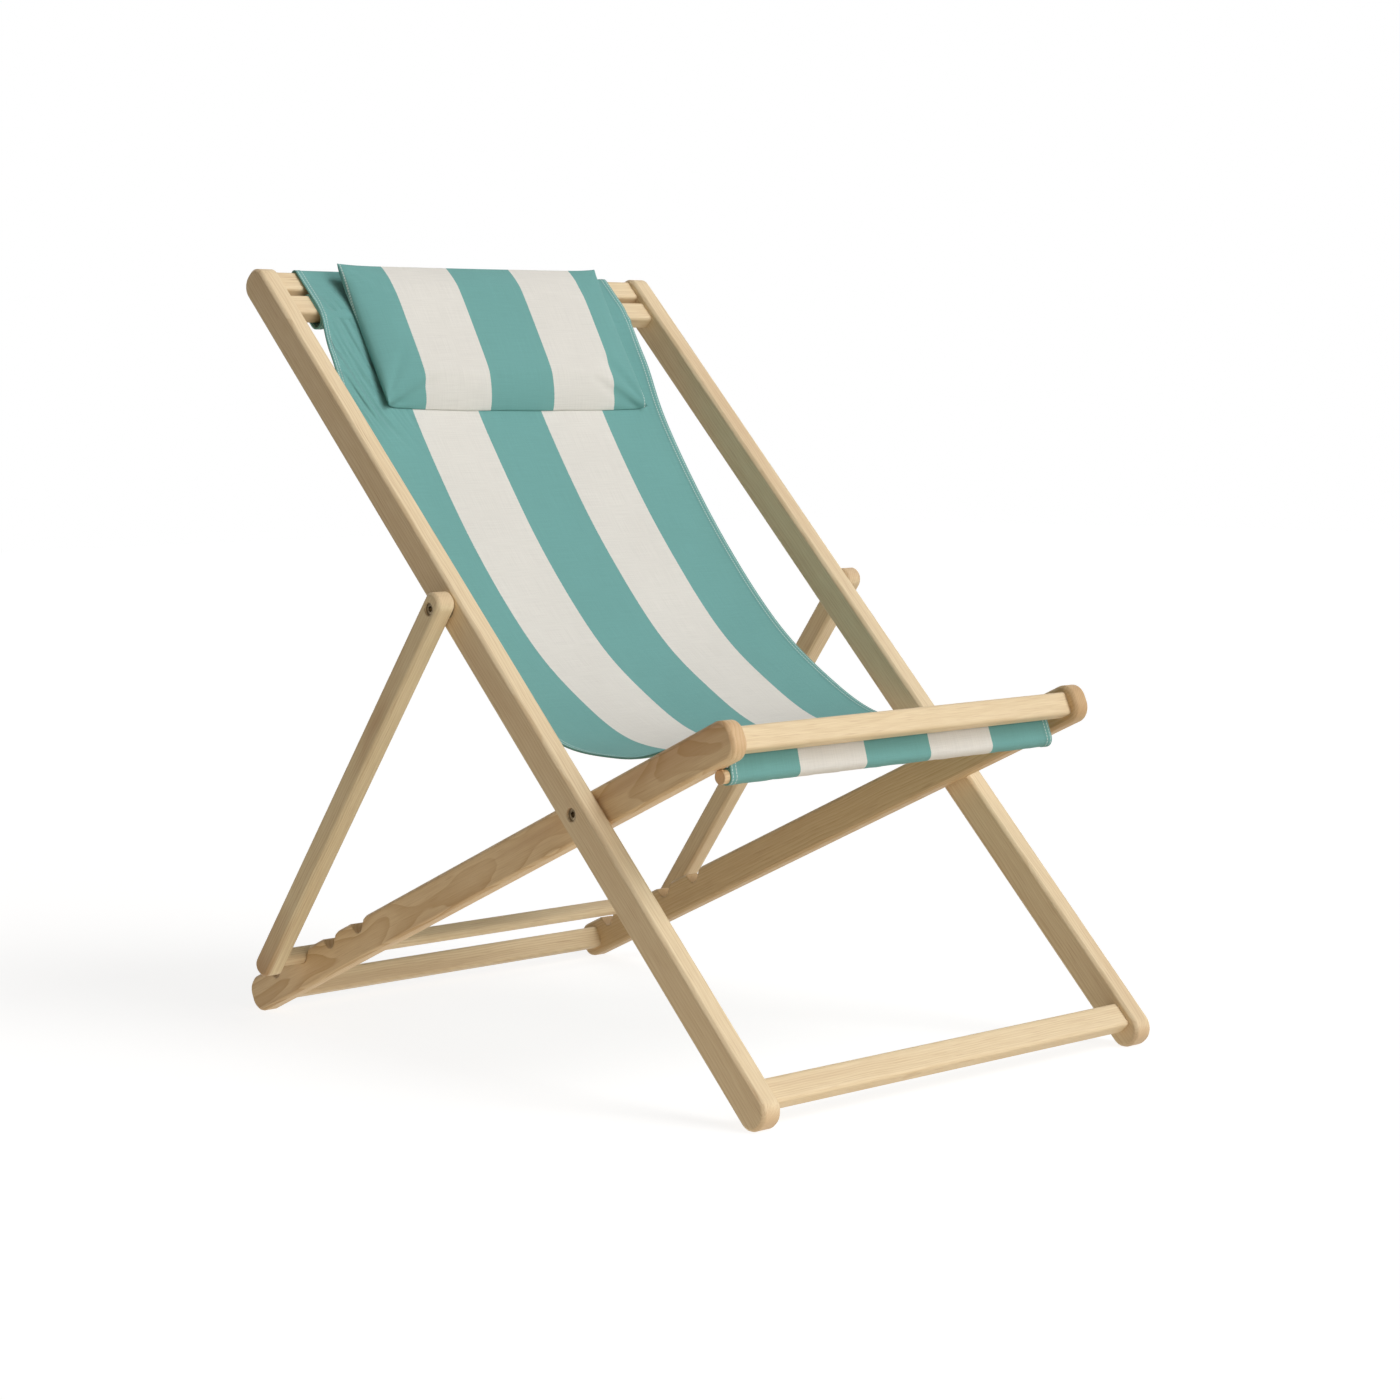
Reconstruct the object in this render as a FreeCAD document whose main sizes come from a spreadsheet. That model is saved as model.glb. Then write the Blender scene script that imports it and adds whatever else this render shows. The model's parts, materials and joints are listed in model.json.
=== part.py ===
# Steamer deck chair: three nested wooden frames, a striped canvas sling and a headrest pillow.
# Millimetres, +Z up. X runs across the chair, the sitter faces -Y and sits with the left hand at +X.
# The origin is on the floor, below the middle of the chair's outline.

import FreeCAD, Part
import math
import os
import Sketcher

V = FreeCAD.Vector
X_AXIS = V(1, 0, 0)

doc = FreeCAD.newDocument("deck_chair")
sheet = doc.addObject("Spreadsheet::Sheet", "Sizes")

# Driving sizes in millimetres, angles in degrees
SIZES = [
    ("back_frame_width", "570"),
    ("back_rail_thickness", "24.5"),
    ("back_rail_width", "38"),
    ("back_rail_above_pivot", "767"),
    ("back_rail_below_pivot", "378.5"),
    ("back_rail_corner", "17.5"),
    ("seat_rail_thickness", "21"),
    ("seat_rail_width", "40.5"),
    ("seat_rail_ahead_of_pivot", "222.5"),
    ("seat_rail_behind_pivot", "654"),
    ("seat_rail_corner", "17"),
    ("strut_thickness", "23"),
    ("strut_width", "25.5"),
    ("strut_past_pivot", "18"),
    ("strut_past_bar", "20"),
    ("strut_corner", "12"),
    ("frame_gap", "1.2"),
    ("edge_chamfer", "3"),
    ("foot_flat_depth", "0.5"),
    ("bar_width", "28"),
    ("bar_thickness", "18"),
    ("bar_round", "4"),
    ("bar_forward", "3"),
    ("seat_bar_width", "25"),
    ("top_bar_below_end", "19.5"),
    ("top_bar_spacing", "36.5"),
    ("foot_bar_above_end", "31"),
    ("front_bar_behind_end", "18.5"),
    ("rear_bar_ahead_of_end", "26"),
    ("prop_pivot_height", "275"),
    ("prop_reach", "506"),
    ("prop_bar_width", "20"),
    ("prop_bar_thickness", "14"),
    ("prop_bar_round", "6.5"),
    ("notch_count", "4"),
    ("notch_in_use", "3"),
    ("notch_first", "425.5"),
    ("notch_pitch", "57"),
    ("notch_depth", "14"),
    ("notch_slope", "46"),
    ("notch_floor", "1.5"),
    ("notch_lip_round", "4.5"),
    ("notch_clearance", "0.3"),
    ("pivot_bolt_diameter", "8"),
    ("pivot_hole_clearance", "0.4"),
    ("bolt_head_diameter", "13"),
    ("bolt_head_height", "4.5"),
    ("bolt_socket_width", "6"),
    ("bolt_socket_depth", "3"),
    ("head_recess", "2.5"),
    ("screw_depth", "15"),
    ("washer_diameter", "22"),
    ("washer_clearance", "0.1"),
    ("tenon_shoulder", "4"),
    ("tenon_length", "14"),
    ("tenon_clearance", "0.1"),
    ("cloth_thickness", "1.2"),
    ("cloth_clearance", "0.3"),
    ("sling_width", "459"),
    ("sling_shift", "-8.5"),
    ("sling_sleeve_bend", "60"),
    ("sling_back_up", "630"),
    ("sling_back_sag", "15"),
    ("sling_back_bend", "400"),
    ("sling_low_up", "335"),
    ("sling_low_sag", "67"),
    ("sling_low_bend", "689"),
    ("sling_seat_up", "29"),
    ("sling_seat_sag", "20"),
    ("sling_seat_bend", "313"),
    ("sling_dowel_diameter", "14"),
    ("sling_dowel_length", "472"),
    ("sling_dowel_shift", "-12"),
    ("sling_dowel_behind_bar", "24"),
    ("pillow_width", "380"),
    ("pillow_height", "192"),
    ("pillow_crown", "38"),
    ("pillow_back", "3"),
    ("pillow_edge", "3"),
    ("pillow_draw_in", "5"),
    ("pillow_below_end", "104"),
    ("pillow_forward", "9"),
    ("pillow_tilt", "13"),
    ("flap_width", "240"),
    ("flap_drop", "74"),
    ("flap_lead", "10"),
    ("weight_short", "10"),
    ("weight_diameter", "8"),
]

size = {}
for row, (alias, text) in enumerate(SIZES, start=1):
    sheet.set(f"A{row}", alias)
    sheet.set(f"B{row}", text)
    sheet.setAlias(f"B{row}", alias)
    size[alias] = float(text)
doc.recompute()

# Frames in side view: each lies along its own Y axis, with its pivot at Y = 0, Z = 0


def turned(point, degrees):
    """A side-view point (y, z) turned about the X axis."""
    a = math.radians(degrees)
    y, z = point
    return y * math.cos(a) - z * math.sin(a), y * math.sin(a) + z * math.cos(a)


def notch_seat(strut_slope):
    """Centre of the prop bar in its notch, in the seat frame, for a strut at this slope to the rail."""
    a = math.radians(strut_slope)
    half_width = size["prop_bar_width"] / 2 - size["prop_bar_round"]
    half_thickness = size["prop_bar_thickness"] / 2 - size["prop_bar_round"]
    below = half_width * math.cos(a) + half_thickness * math.sin(a) + size["prop_bar_round"]
    floor = size["seat_rail_width"] / 2 - size["notch_depth"]
    along = size["notch_first"] + (size["notch_in_use"] - 1) * size["notch_pitch"]
    return along, floor + size["notch_clearance"] + below


# Rounds and first guesses of the two solvers, in degrees
ROUNDS = 60
FIRST_SLOPE = 28.0
LEAST_ANGLE = 5.0


def linkage():
    """Angle between back rail and seat rail, and the strut's slope to the seat rail, with the bar seated."""
    slope = FIRST_SLOPE
    opening = 0.0
    for _ in range(ROUNDS):
        bar = notch_seat(slope)
        to_bar = math.hypot(*bar)
        pivot = size["prop_pivot_height"]
        cosine = (pivot**2 + to_bar**2 - size["prop_reach"] ** 2) / (2 * pivot * to_bar)
        opening = math.degrees(math.acos(cosine) + math.atan2(bar[1], bar[0]))
        prop_pivot = turned((pivot, 0), opening)
        slope = math.degrees(math.atan2(prop_pivot[1] - bar[1], bar[0] - prop_pivot[0]))
    return opening, slope


def rail_end(end, half_width, corner, degrees):
    """Centres of the two round corners at one end of a rail, turned into the chair's side view."""
    y = end - math.copysign(corner, end)
    return [turned((y, z), degrees) for z in (half_width - corner, corner - half_width)]


def foot_corners(degrees):
    """The round corners at a back rail's lower end, with the back frame at an angle to the floor."""
    half_width = size["back_rail_width"] / 2
    return rail_end(-size["back_rail_below_pivot"], half_width, size["back_rail_corner"], degrees)


def heel_corners(degrees):
    """The round corners at a seat rail's rear end, with the seat frame at an angle to the floor."""
    half_width = size["seat_rail_width"] / 2
    return rail_end(size["seat_rail_behind_pivot"], half_width, size["seat_rail_corner"], degrees)


def drop(corners, radius):
    """How far a rail's end reaches below its pivot."""
    return radius - min(z for _, z in corners)


opening_angle, strut_slope = linkage()


def stand():
    """Angle of the back rails to the floor with all four ends of the rails on it."""
    low, high = LEAST_ANGLE, opening_angle - LEAST_ANGLE
    for _ in range(ROUNDS):
        middle = (low + high) / 2
        foot = drop(foot_corners(middle), size["back_rail_corner"])
        heel = drop(heel_corners(middle - opening_angle), size["seat_rail_corner"])
        if foot > heel:
            high = middle
        else:
            low = middle
    return (low + high) / 2


back_angle = stand()
seat_angle = back_angle - opening_angle
prop_angle = seat_angle - strut_slope

pivot_height = drop(foot_corners(back_angle), size["back_rail_corner"]) - size["foot_flat_depth"]
front_reach = size["back_rail_corner"] - min(y for y, _ in foot_corners(back_angle))
rear_reach = size["seat_rail_corner"] + max(y for y, _ in heel_corners(seat_angle))
pivot_y = (front_reach - rear_reach) / 2

main_pivot = V(0, pivot_y, pivot_height)
prop_offset = turned((size["prop_pivot_height"], 0), back_angle)
prop_pivot = main_pivot + V(0, *prop_offset)
BACK = FreeCAD.Placement(main_pivot, FreeCAD.Rotation(X_AXIS, back_angle))
SEAT = FreeCAD.Placement(main_pivot, FreeCAD.Rotation(X_AXIS, seat_angle))
PROP = FreeCAD.Placement(prop_pivot, FreeCAD.Rotation(X_AXIS, prop_angle))


def from_seat_to_back(point):
    """A side-view point of the seat frame, given in the back frame."""
    return turned(point, seat_angle - back_angle)


# Faces across the chair, as expressions: the frames nest with a washer between them
BACK_OUTER = "Sizes.back_frame_width / 2"
BACK_INNER = f"({BACK_OUTER} - Sizes.back_rail_thickness)"
SEAT_OUTER = f"({BACK_INNER} - Sizes.frame_gap)"
SEAT_INNER = f"({SEAT_OUTER} - Sizes.seat_rail_thickness)"
STRUT_INNER = f"({BACK_OUTER} + Sizes.frame_gap)"
STRUT_OUTER = f"({STRUT_INNER} + Sizes.strut_thickness)"

# Places of the crossbars along their frames, as expressions
TOP_BAR = "(Sizes.back_rail_above_pivot - Sizes.top_bar_below_end)"
SLEEVE_BAR = f"({TOP_BAR} - Sizes.top_bar_spacing)"
FOOT_BAR = "(Sizes.foot_bar_above_end - Sizes.back_rail_below_pivot)"
FRONT_BAR = "(Sizes.front_bar_behind_end - Sizes.seat_rail_ahead_of_pivot)"
REAR_BAR = "(Sizes.seat_rail_behind_pivot - Sizes.rear_bar_ahead_of_end)"


def number(owner, expression):
    """The value that an expression has now."""
    return float(owner.evalExpression(expression))


def plane_of(body, role):
    """One of a body's own origin planes or axes."""
    return next(feature for feature in body.Origin.OriginFeatures if feature.Role == role)


def new_body(label, placement):
    body = doc.addObject("PartDesign::Body", label)
    body.Label = label
    body.Placement = placement
    return body


def side_sketch(body, name, across):
    """A sketch in the body's side plane, moved across the chair to an expression's value."""
    sketch = body.newObject("Sketcher::SketchObject", name)
    sketch.AttachmentSupport = [(plane_of(body, "YZ_Plane"), "")]
    sketch.MapMode = "FlatFace"
    sketch.setExpression("AttachmentOffset.Base.z", across)
    return sketch


def bind(sketch, kind, places, expression):
    """A dimension of a sketch that follows an expression, measured the way that makes it positive."""
    value = number(sketch, expression)
    if value < 0:
        places = places[2:] + places[:2]
        expression = f"-({expression})"
    index = sketch.addConstraint(Sketcher.Constraint(kind, *places, abs(value)))
    sketch.setExpression(f"Constraints[{index}]", expression)


def rounded_rectangle(sketch, low_y, high_y, low_z, high_z, corner):
    """A closed rectangle with four equal round corners, each side bound to an expression."""
    y0, y1, z0, z1, r = (number(sketch, e) for e in (low_y, high_y, low_z, high_z, corner))
    lines = [
        ((y0 + r, z0), (y1 - r, z0)),
        ((y1, z0 + r), (y1, z1 - r)),
        ((y1 - r, z1), (y0 + r, z1)),
        ((y0, z1 - r), (y0, z0 + r)),
    ]
    centres = [(y1 - r, z0 + r), (y1 - r, z1 - r), (y0 + r, z1 - r), (y0 + r, z0 + r)]
    first = sketch.GeometryCount
    for start, end in lines:
        sketch.addGeometry(Part.LineSegment(V(*start, 0), V(*end, 0)))
    for turn, centre in enumerate(centres):
        circle = Part.Circle(V(*centre, 0), V(0, 0, 1), r)
        angle = math.radians(-90 + 90 * turn)
        sketch.addGeometry(Part.ArcOfCircle(circle, angle, angle + math.pi / 2))
    for turn in range(4):
        line, arc, following = first + turn, first + 4 + turn, first + (turn + 1) % 4
        sketch.addConstraint(Sketcher.Constraint("Tangent", line, 2, arc, 1))
        sketch.addConstraint(Sketcher.Constraint("Tangent", arc, 2, following, 1))
        sketch.addConstraint(Sketcher.Constraint("Horizontal" if turn % 2 == 0 else "Vertical", line))
    for turn in range(1, 4):
        sketch.addConstraint(Sketcher.Constraint("Equal", first + 4, first + 4 + turn))
    radius = sketch.addConstraint(Sketcher.Constraint("Radius", first + 4, r))
    sketch.setExpression(f"Constraints[{radius}]", corner)
    bind(sketch, "DistanceX", (-1, 1, first + 3, 1), low_y)
    bind(sketch, "DistanceX", (-1, 1, first + 1, 1), high_y)
    bind(sketch, "DistanceY", (-1, 1, first, 1), low_z)
    bind(sketch, "DistanceY", (-1, 1, first + 2, 1), high_z)


def rounded_path(points, radii):
    """Lines and arcs through side-view points, with a radius at each point between the ends."""
    edges = []
    start = V(*points[0], 0)
    for before, corner, after, radius in zip(points, points[1:], points[2:], radii):
        at = V(*corner, 0)
        back = (V(*before, 0) - at).normalize()
        ahead = (V(*after, 0) - at).normalize()
        half = back.getAngle(ahead) / 2
        reach = radius / math.tan(half)
        middle = at + (back + ahead).normalize() * (radius / math.sin(half) - radius)
        edges.append(Part.LineSegment(start, at + back * reach))
        edges.append(Part.Arc(at + back * reach, middle, at + ahead * reach))
        start = at + ahead * reach
    edges.append(Part.LineSegment(start, V(*points[-1], 0)))
    return edges


def beside(points, distance):
    """A polyline moved sideways to its left by a distance."""
    moved = []
    for i, point in enumerate(points):
        normals = []
        for a, b in ((i - 1, i), (i, i + 1)):
            if 0 <= a and b < len(points):
                run = V(points[b][0] - points[a][0], points[b][1] - points[a][1], 0).normalize()
                normals.append(V(-run.y, run.x, 0))
        middle = normals[0] + normals[-1]
        middle = middle * (2 / middle.dot(middle))
        moved.append((point[0] + middle.x * distance, point[1] + middle.y * distance))
    return moved


def turn_sides(points):
    """+1 where a polyline turns left at an inner point, -1 where it turns right."""
    sides = []
    for a, b, c in zip(points, points[1:], points[2:]):
        cross = (b[0] - a[0]) * (c[1] - b[1]) - (b[1] - a[1]) * (c[0] - b[0])
        sides.append(1 if cross > 0 else -1)
    return sides


def ribbon(sketch, points, radii):
    """The closed outline of a strip of cloth that follows a rounded path."""
    half = size["cloth_thickness"] / 2
    sides = turn_sides(points)
    left = beside(points, half)
    right = beside(points, -half)
    left_edges = rounded_path(left, [r - side * half for r, side in zip(radii, sides)])
    right_edges = rounded_path(right, [r + side * half for r, side in zip(radii, sides)])
    closing = [
        Part.LineSegment(V(*left[0], 0), V(*right[0], 0)),
        Part.LineSegment(V(*left[-1], 0), V(*right[-1], 0)),
    ]
    for edge in left_edges + right_edges + closing:
        sketch.addGeometry(edge)


def path_length(edges):
    return sum(edge.length() for edge in edges)


def pad(body, sketch, expression):
    feature = body.newObject("PartDesign::Pad", "pad")
    feature.Profile = sketch
    feature.setExpression("Length", expression)
    doc.recompute()
    return feature


def pocket(body, sketch, expression, inward):
    """Cuts a sketch into the body along X: inward is +1 towards +X and -1 towards -X."""
    before = body.Shape.Volume
    feature = body.newObject("PartDesign::Pocket", "pocket")
    feature.Profile = sketch
    feature.Reversed = inward > 0
    feature.setExpression("Length", expression)
    doc.recompute()
    if not body.Shape.Volume < before - 1:
        raise ValueError(f"{body.Label}: {sketch.Label} cuts nothing")
    return feature


def ease_edges(body, base, chosen, expression):
    names = [f"Edge{i}" for i, edge in enumerate(base.Shape.Edges, start=1) if chosen(edge)]
    feature = body.newObject("PartDesign::Chamfer", "eased_edges")
    feature.Base = (base, names)
    feature.setExpression("Size", expression)
    doc.recompute()
    return feature


def in_side_face(shape):
    """Tells the edges that lie in a piece's two flat sides."""
    box = shape.BoundBox

    def chosen(edge):
        return edge.BoundBox.XLength < 1e-6 and (
            abs(edge.BoundBox.XMin - box.XMin) < 1e-6 or abs(edge.BoundBox.XMax - box.XMax) < 1e-6
        )

    return chosen


def bores(body, name, centres, diameter, across, depth, inward):
    """Round holes from a face at across, each centre a pair of expressions."""
    sketch = side_sketch(body, name, across)
    for y, z in centres:
        place = V(number(sketch, y), number(sketch, z), 0)
        circle = sketch.addGeometry(Part.Circle(place, V(0, 0, 1), number(sketch, diameter) / 2))
        index = sketch.addConstraint(Sketcher.Constraint("Diameter", circle, number(sketch, diameter)))
        sketch.setExpression(f"Constraints[{index}]", diameter)
        for kind, expression, axis in (("DistanceX", y, -2), ("DistanceY", z, -1)):
            if number(sketch, expression) == 0:
                sketch.addConstraint(Sketcher.Constraint("PointOnObject", circle, 3, axis))
            else:
                bind(sketch, kind, (-1, 1, circle, 3), expression)
    return pocket(body, sketch, depth, inward)


def plain_rectangle(sketch, low_y, high_y, low_z, high_z):
    """A closed rectangle with sharp corners, each side bound to an expression."""
    y0, y1, z0, z1 = (number(sketch, e) for e in (low_y, high_y, low_z, high_z))
    corners = [(y0, z0), (y1, z0), (y1, z1), (y0, z1)]
    first = sketch.GeometryCount
    for start, end in zip(corners, corners[1:] + corners[:1]):
        sketch.addGeometry(Part.LineSegment(V(*start, 0), V(*end, 0)))
    for turn in range(4):
        sketch.addConstraint(Sketcher.Constraint("Coincident", first + turn, 2, first + (turn + 1) % 4, 1))
        sketch.addConstraint(Sketcher.Constraint("Horizontal" if turn % 2 == 0 else "Vertical", first + turn))
    bind(sketch, "DistanceX", (-1, 1, first, 1), low_y)
    bind(sketch, "DistanceX", (-1, 1, first + 1, 1), high_y)
    bind(sketch, "DistanceY", (-1, 1, first, 1), low_z)
    bind(sketch, "DistanceY", (-1, 1, first + 2, 1), high_z)


class Bar:
    """A crossbar's section in its frame's side view, with its tenon inside it."""

    def __init__(self, label, along, height, width, thickness, corner, upright):
        self.label = label
        self.along = along
        self.height = height
        self.corner = corner
        self.sizes = (thickness, width) if upright else (width, thickness)

    def section(self, grow="0"):
        """Low and high Y, then low and high Z, of the section grown all round."""
        sides = []
        for middle, size_here in zip((self.along, self.height), self.sizes):
            sides.append(f"{middle} - {size_here} / 2 - ({grow})")
            sides.append(f"{middle} + {size_here} / 2 + ({grow})")
        return sides


TENON = "-Sizes.tenon_shoulder"
MORTISE = "Sizes.tenon_clearance - Sizes.tenon_shoulder"
MORTISE_DEPTH = "(Sizes.tenon_length + Sizes.tenon_clearance)"
SHANK_HOLE = "(Sizes.pivot_bolt_diameter + 2 * Sizes.pivot_hole_clearance)"
HEAD_HOLE = "(Sizes.bolt_head_diameter + 2 * Sizes.pivot_hole_clearance)"
HEAD_DEPTH = "(Sizes.head_recess + Sizes.bolt_head_height)"
NO_OFFSET = "0"

BACK_BARS = [
    Bar(label, along, "Sizes.bar_forward", "Sizes.bar_width", "Sizes.bar_thickness", "Sizes.bar_round", False)
    for label, along in (("top_bar", TOP_BAR), ("sleeve_bar", SLEEVE_BAR), ("foot_bar", FOOT_BAR))
]
SEAT_BARS = [
    Bar(label, along, NO_OFFSET, "Sizes.seat_bar_width", "Sizes.bar_thickness", "Sizes.bar_round", True)
    for label, along in (("front_bar", FRONT_BAR), ("rear_bar", REAR_BAR))
]
PROP_BARS = [
    Bar(
        "prop_bar",
        "Sizes.prop_reach",
        NO_OFFSET,
        "Sizes.prop_bar_width",
        "Sizes.prop_bar_thickness",
        "Sizes.prop_bar_round",
        True,
    )
]


def mortises(body, bars, face, side):
    """The holes in a rail's inner face that take the bars' tenons."""
    sketch = side_sketch(body, "mortises", signed(side, face))
    for bar in bars:
        plain_rectangle(sketch, *bar.section(MORTISE))
    pocket(body, sketch, MORTISE_DEPTH, side)


def signed(side, expression):
    return expression if side > 0 else f"-({expression})"


def rail(label, side, placement, ends, width, corner, inner, thickness):
    """A rail with round corners at its ends and its edges eased all round."""
    body = new_body(label, placement)
    low = inner if side > 0 else f"-({inner} + {thickness})"
    sketch = side_sketch(body, "outline", low)
    rounded_rectangle(sketch, ends[0], ends[1], f"-{width} / 2", f"{width} / 2", corner)
    base = pad(body, sketch, thickness)
    ease_edges(body, base, in_side_face(base.Shape), "Sizes.edge_chamfer")
    return body


def floor_cut(body, end, half_width, degrees, inner, thickness, side):
    """Takes the small flat off a rail's end where it stands on the floor."""
    low = inner if side > 0 else f"-({inner} + {thickness})"
    sketch = side_sketch(body, "floor_flat", low)
    reach = 2 * half_width
    at, _ = turned((end, 0), degrees)
    corners = [(at - reach, -reach), (at + reach, -reach), (at + reach, 0), (at - reach, 0)]
    local = [turned((y, z - pivot_height), -degrees) for y, z in corners]
    for a, b in zip(local, local[1:] + local[:1]):
        sketch.addGeometry(Part.LineSegment(V(*a, 0), V(*b, 0)))
    pocket(body, sketch, thickness, +1)


def notch_points():
    """Corners of the first notch: a slope in, a short floor, and a wall square to the strut."""
    top = size["seat_rail_width"] / 2
    floor = top - size["notch_depth"]
    slope = math.radians(size["notch_slope"])
    wall = math.radians(strut_slope)
    radius = size["prop_bar_round"] + size["notch_clearance"]
    lip = size["notch_lip_round"]
    bar = (size["notch_first"], notch_seat(strut_slope)[1])
    behind_bar = size["prop_bar_thickness"] / 2 + size["notch_clearance"]
    on_wall = (bar[0] + behind_bar * math.cos(wall), bar[1] - behind_bar * math.sin(wall))
    rear_foot = on_wall[0] + (floor - on_wall[1]) * math.tan(wall)
    rear_lip = on_wall[0] + (top - on_wall[1]) * math.tan(wall)
    corners = radius * (math.tan((math.pi / 2 - wall) / 2) + math.tan(slope / 2))
    front_foot = rear_foot - corners - size["notch_floor"]
    front_lip = front_foot - size["notch_depth"] / math.tan(slope)
    margin = 2 * lip
    points = [
        (front_lip - margin, top),
        (front_lip, top),
        (front_foot, floor),
        (rear_foot, floor),
        (rear_lip, top),
        (rear_lip + margin, top),
    ]
    return points, [lip, radius, radius, lip]


def cut_notches(body, across, thickness):
    """The row of notches that the prop bar drops into."""
    sketch = side_sketch(body, "notch", across)
    points, radii = notch_points()
    edges = rounded_path(points, radii)[1:-1]
    for edge in edges:
        sketch.addGeometry(edge)
    shapes = [edge.toShape() for edge in edges]
    ends = [shapes[0].Vertexes[0].Point, shapes[-1].Vertexes[-1].Point]
    above = points[0][1] + size["notch_depth"]
    corners = [ends[0], V(ends[0].x, above, 0), V(ends[1].x, above, 0), ends[1]]
    for a, b in zip(corners, corners[1:]):
        sketch.addGeometry(Part.LineSegment(a, b))
    cut = pocket(body, sketch, thickness, +1)
    pattern = body.newObject("PartDesign::LinearPattern", "notches")
    pattern.Originals = [cut]
    pattern.Direction = (plane_of(body, "Y_Axis"), [""])
    pattern.setExpression("Length", "(Sizes.notch_count - 1) * Sizes.notch_pitch")
    pattern.setExpression("Occurrences", "Sizes.notch_count")
    body.Tip = pattern
    doc.recompute()


def back_rail(label, side):
    """A long rail: the main pivot passes through it, and the prop pivot is screwed into its outer face."""
    body = rail(
        label,
        side,
        BACK,
        ("-Sizes.back_rail_below_pivot", "Sizes.back_rail_above_pivot"),
        "Sizes.back_rail_width",
        "Sizes.back_rail_corner",
        BACK_INNER,
        "Sizes.back_rail_thickness",
    )
    outer = signed(side, BACK_OUTER)
    bores(body, "pivot_hole", [("0", "0")], SHANK_HOLE, outer, "Sizes.back_rail_thickness", -side)
    bores(body, "head_hole", [("0", "0")], HEAD_HOLE, outer, HEAD_DEPTH, -side)
    screw = ("Sizes.prop_pivot_height", "0")
    bores(body, "screw_hole", [screw], "Sizes.pivot_bolt_diameter", outer, "Sizes.screw_depth", -side)
    mortises(body, BACK_BARS, BACK_INNER, side)
    floor_cut(
        body,
        -size["back_rail_below_pivot"],
        size["back_rail_width"] / 2,
        back_angle,
        BACK_INNER,
        "Sizes.back_rail_thickness",
        side,
    )
    return body


def seat_rail(label, side):
    """A wide rail with the notches near its rear end, and the main pivot screwed into its outer face."""
    body = rail(
        label,
        side,
        SEAT,
        ("-Sizes.seat_rail_ahead_of_pivot", "Sizes.seat_rail_behind_pivot"),
        "Sizes.seat_rail_width",
        "Sizes.seat_rail_corner",
        SEAT_INNER,
        "Sizes.seat_rail_thickness",
    )
    outer = signed(side, SEAT_OUTER)
    bores(body, "screw_hole", [("0", "0")], "Sizes.pivot_bolt_diameter", outer, "Sizes.screw_depth", -side)
    mortises(body, SEAT_BARS, SEAT_INNER, side)
    floor_cut(
        body,
        size["seat_rail_behind_pivot"],
        size["seat_rail_width"] / 2,
        seat_angle,
        SEAT_INNER,
        "Sizes.seat_rail_thickness",
        side,
    )
    cut_notches(body, SEAT_INNER if side > 0 else f"-{SEAT_OUTER}", "Sizes.seat_rail_thickness")
    return body


def prop_strut(label, side):
    """A narrow strut outside the back rail, its bolt head sunk in its outer face."""
    body = rail(
        label,
        side,
        PROP,
        ("-Sizes.strut_past_pivot", "Sizes.prop_reach + Sizes.strut_past_bar"),
        "Sizes.strut_width",
        "Sizes.strut_corner",
        STRUT_INNER,
        "Sizes.strut_thickness",
    )
    outer = signed(side, STRUT_OUTER)
    bores(body, "pivot_hole", [("0", "0")], SHANK_HOLE, outer, "Sizes.strut_thickness", -side)
    bores(body, "head_hole", [("0", "0")], HEAD_HOLE, outer, HEAD_DEPTH, -side)
    mortises(body, PROP_BARS, STRUT_INNER, side)
    return body


def crossbar(bar, placement, inner):
    """A bar between two rails, with a tenon at each end that is glued into the rail."""
    body = new_body(bar.label, placement)
    section = side_sketch(body, "section", f"-{inner}")
    rounded_rectangle(section, *bar.section(), bar.corner)
    pad(body, section, f"2 * {inner}")
    tenon = side_sketch(body, "tenon", f"-({inner} + Sizes.tenon_length)")
    plain_rectangle(tenon, *bar.section(TENON))
    pad(body, tenon, f"2 * ({inner} + Sizes.tenon_length)")
    return body


def cylinder(label, diameter, start, length, along, height):
    """A cylinder across the chair, from start towards +X, its sizes bound to expressions."""
    item = doc.addObject("Part::Cylinder", label)
    item.setExpression("Radius", f"{diameter} / 2")
    item.setExpression("Height", length)
    item.Placement = FreeCAD.Placement(V(0, 0, 0), FreeCAD.Rotation(V(0, 1, 0), 90))
    item.setExpression("Placement.Base.x", start)
    item.setExpression("Placement.Base.y", along)
    item.setExpression("Placement.Base.z", height)
    return item


def from_face(side, face, length):
    """Start of a cylinder that runs inwards from a face on one side of the chair."""
    return f"{face} - {length}" if side > 0 else f"-({face})"


def group(label, items, placement):
    """Separate solids of one kind, kept as one named piece."""
    item = doc.addObject("Part::Compound", label)
    item.Label = label
    item.Links = items
    item.Placement = placement
    return item


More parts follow.
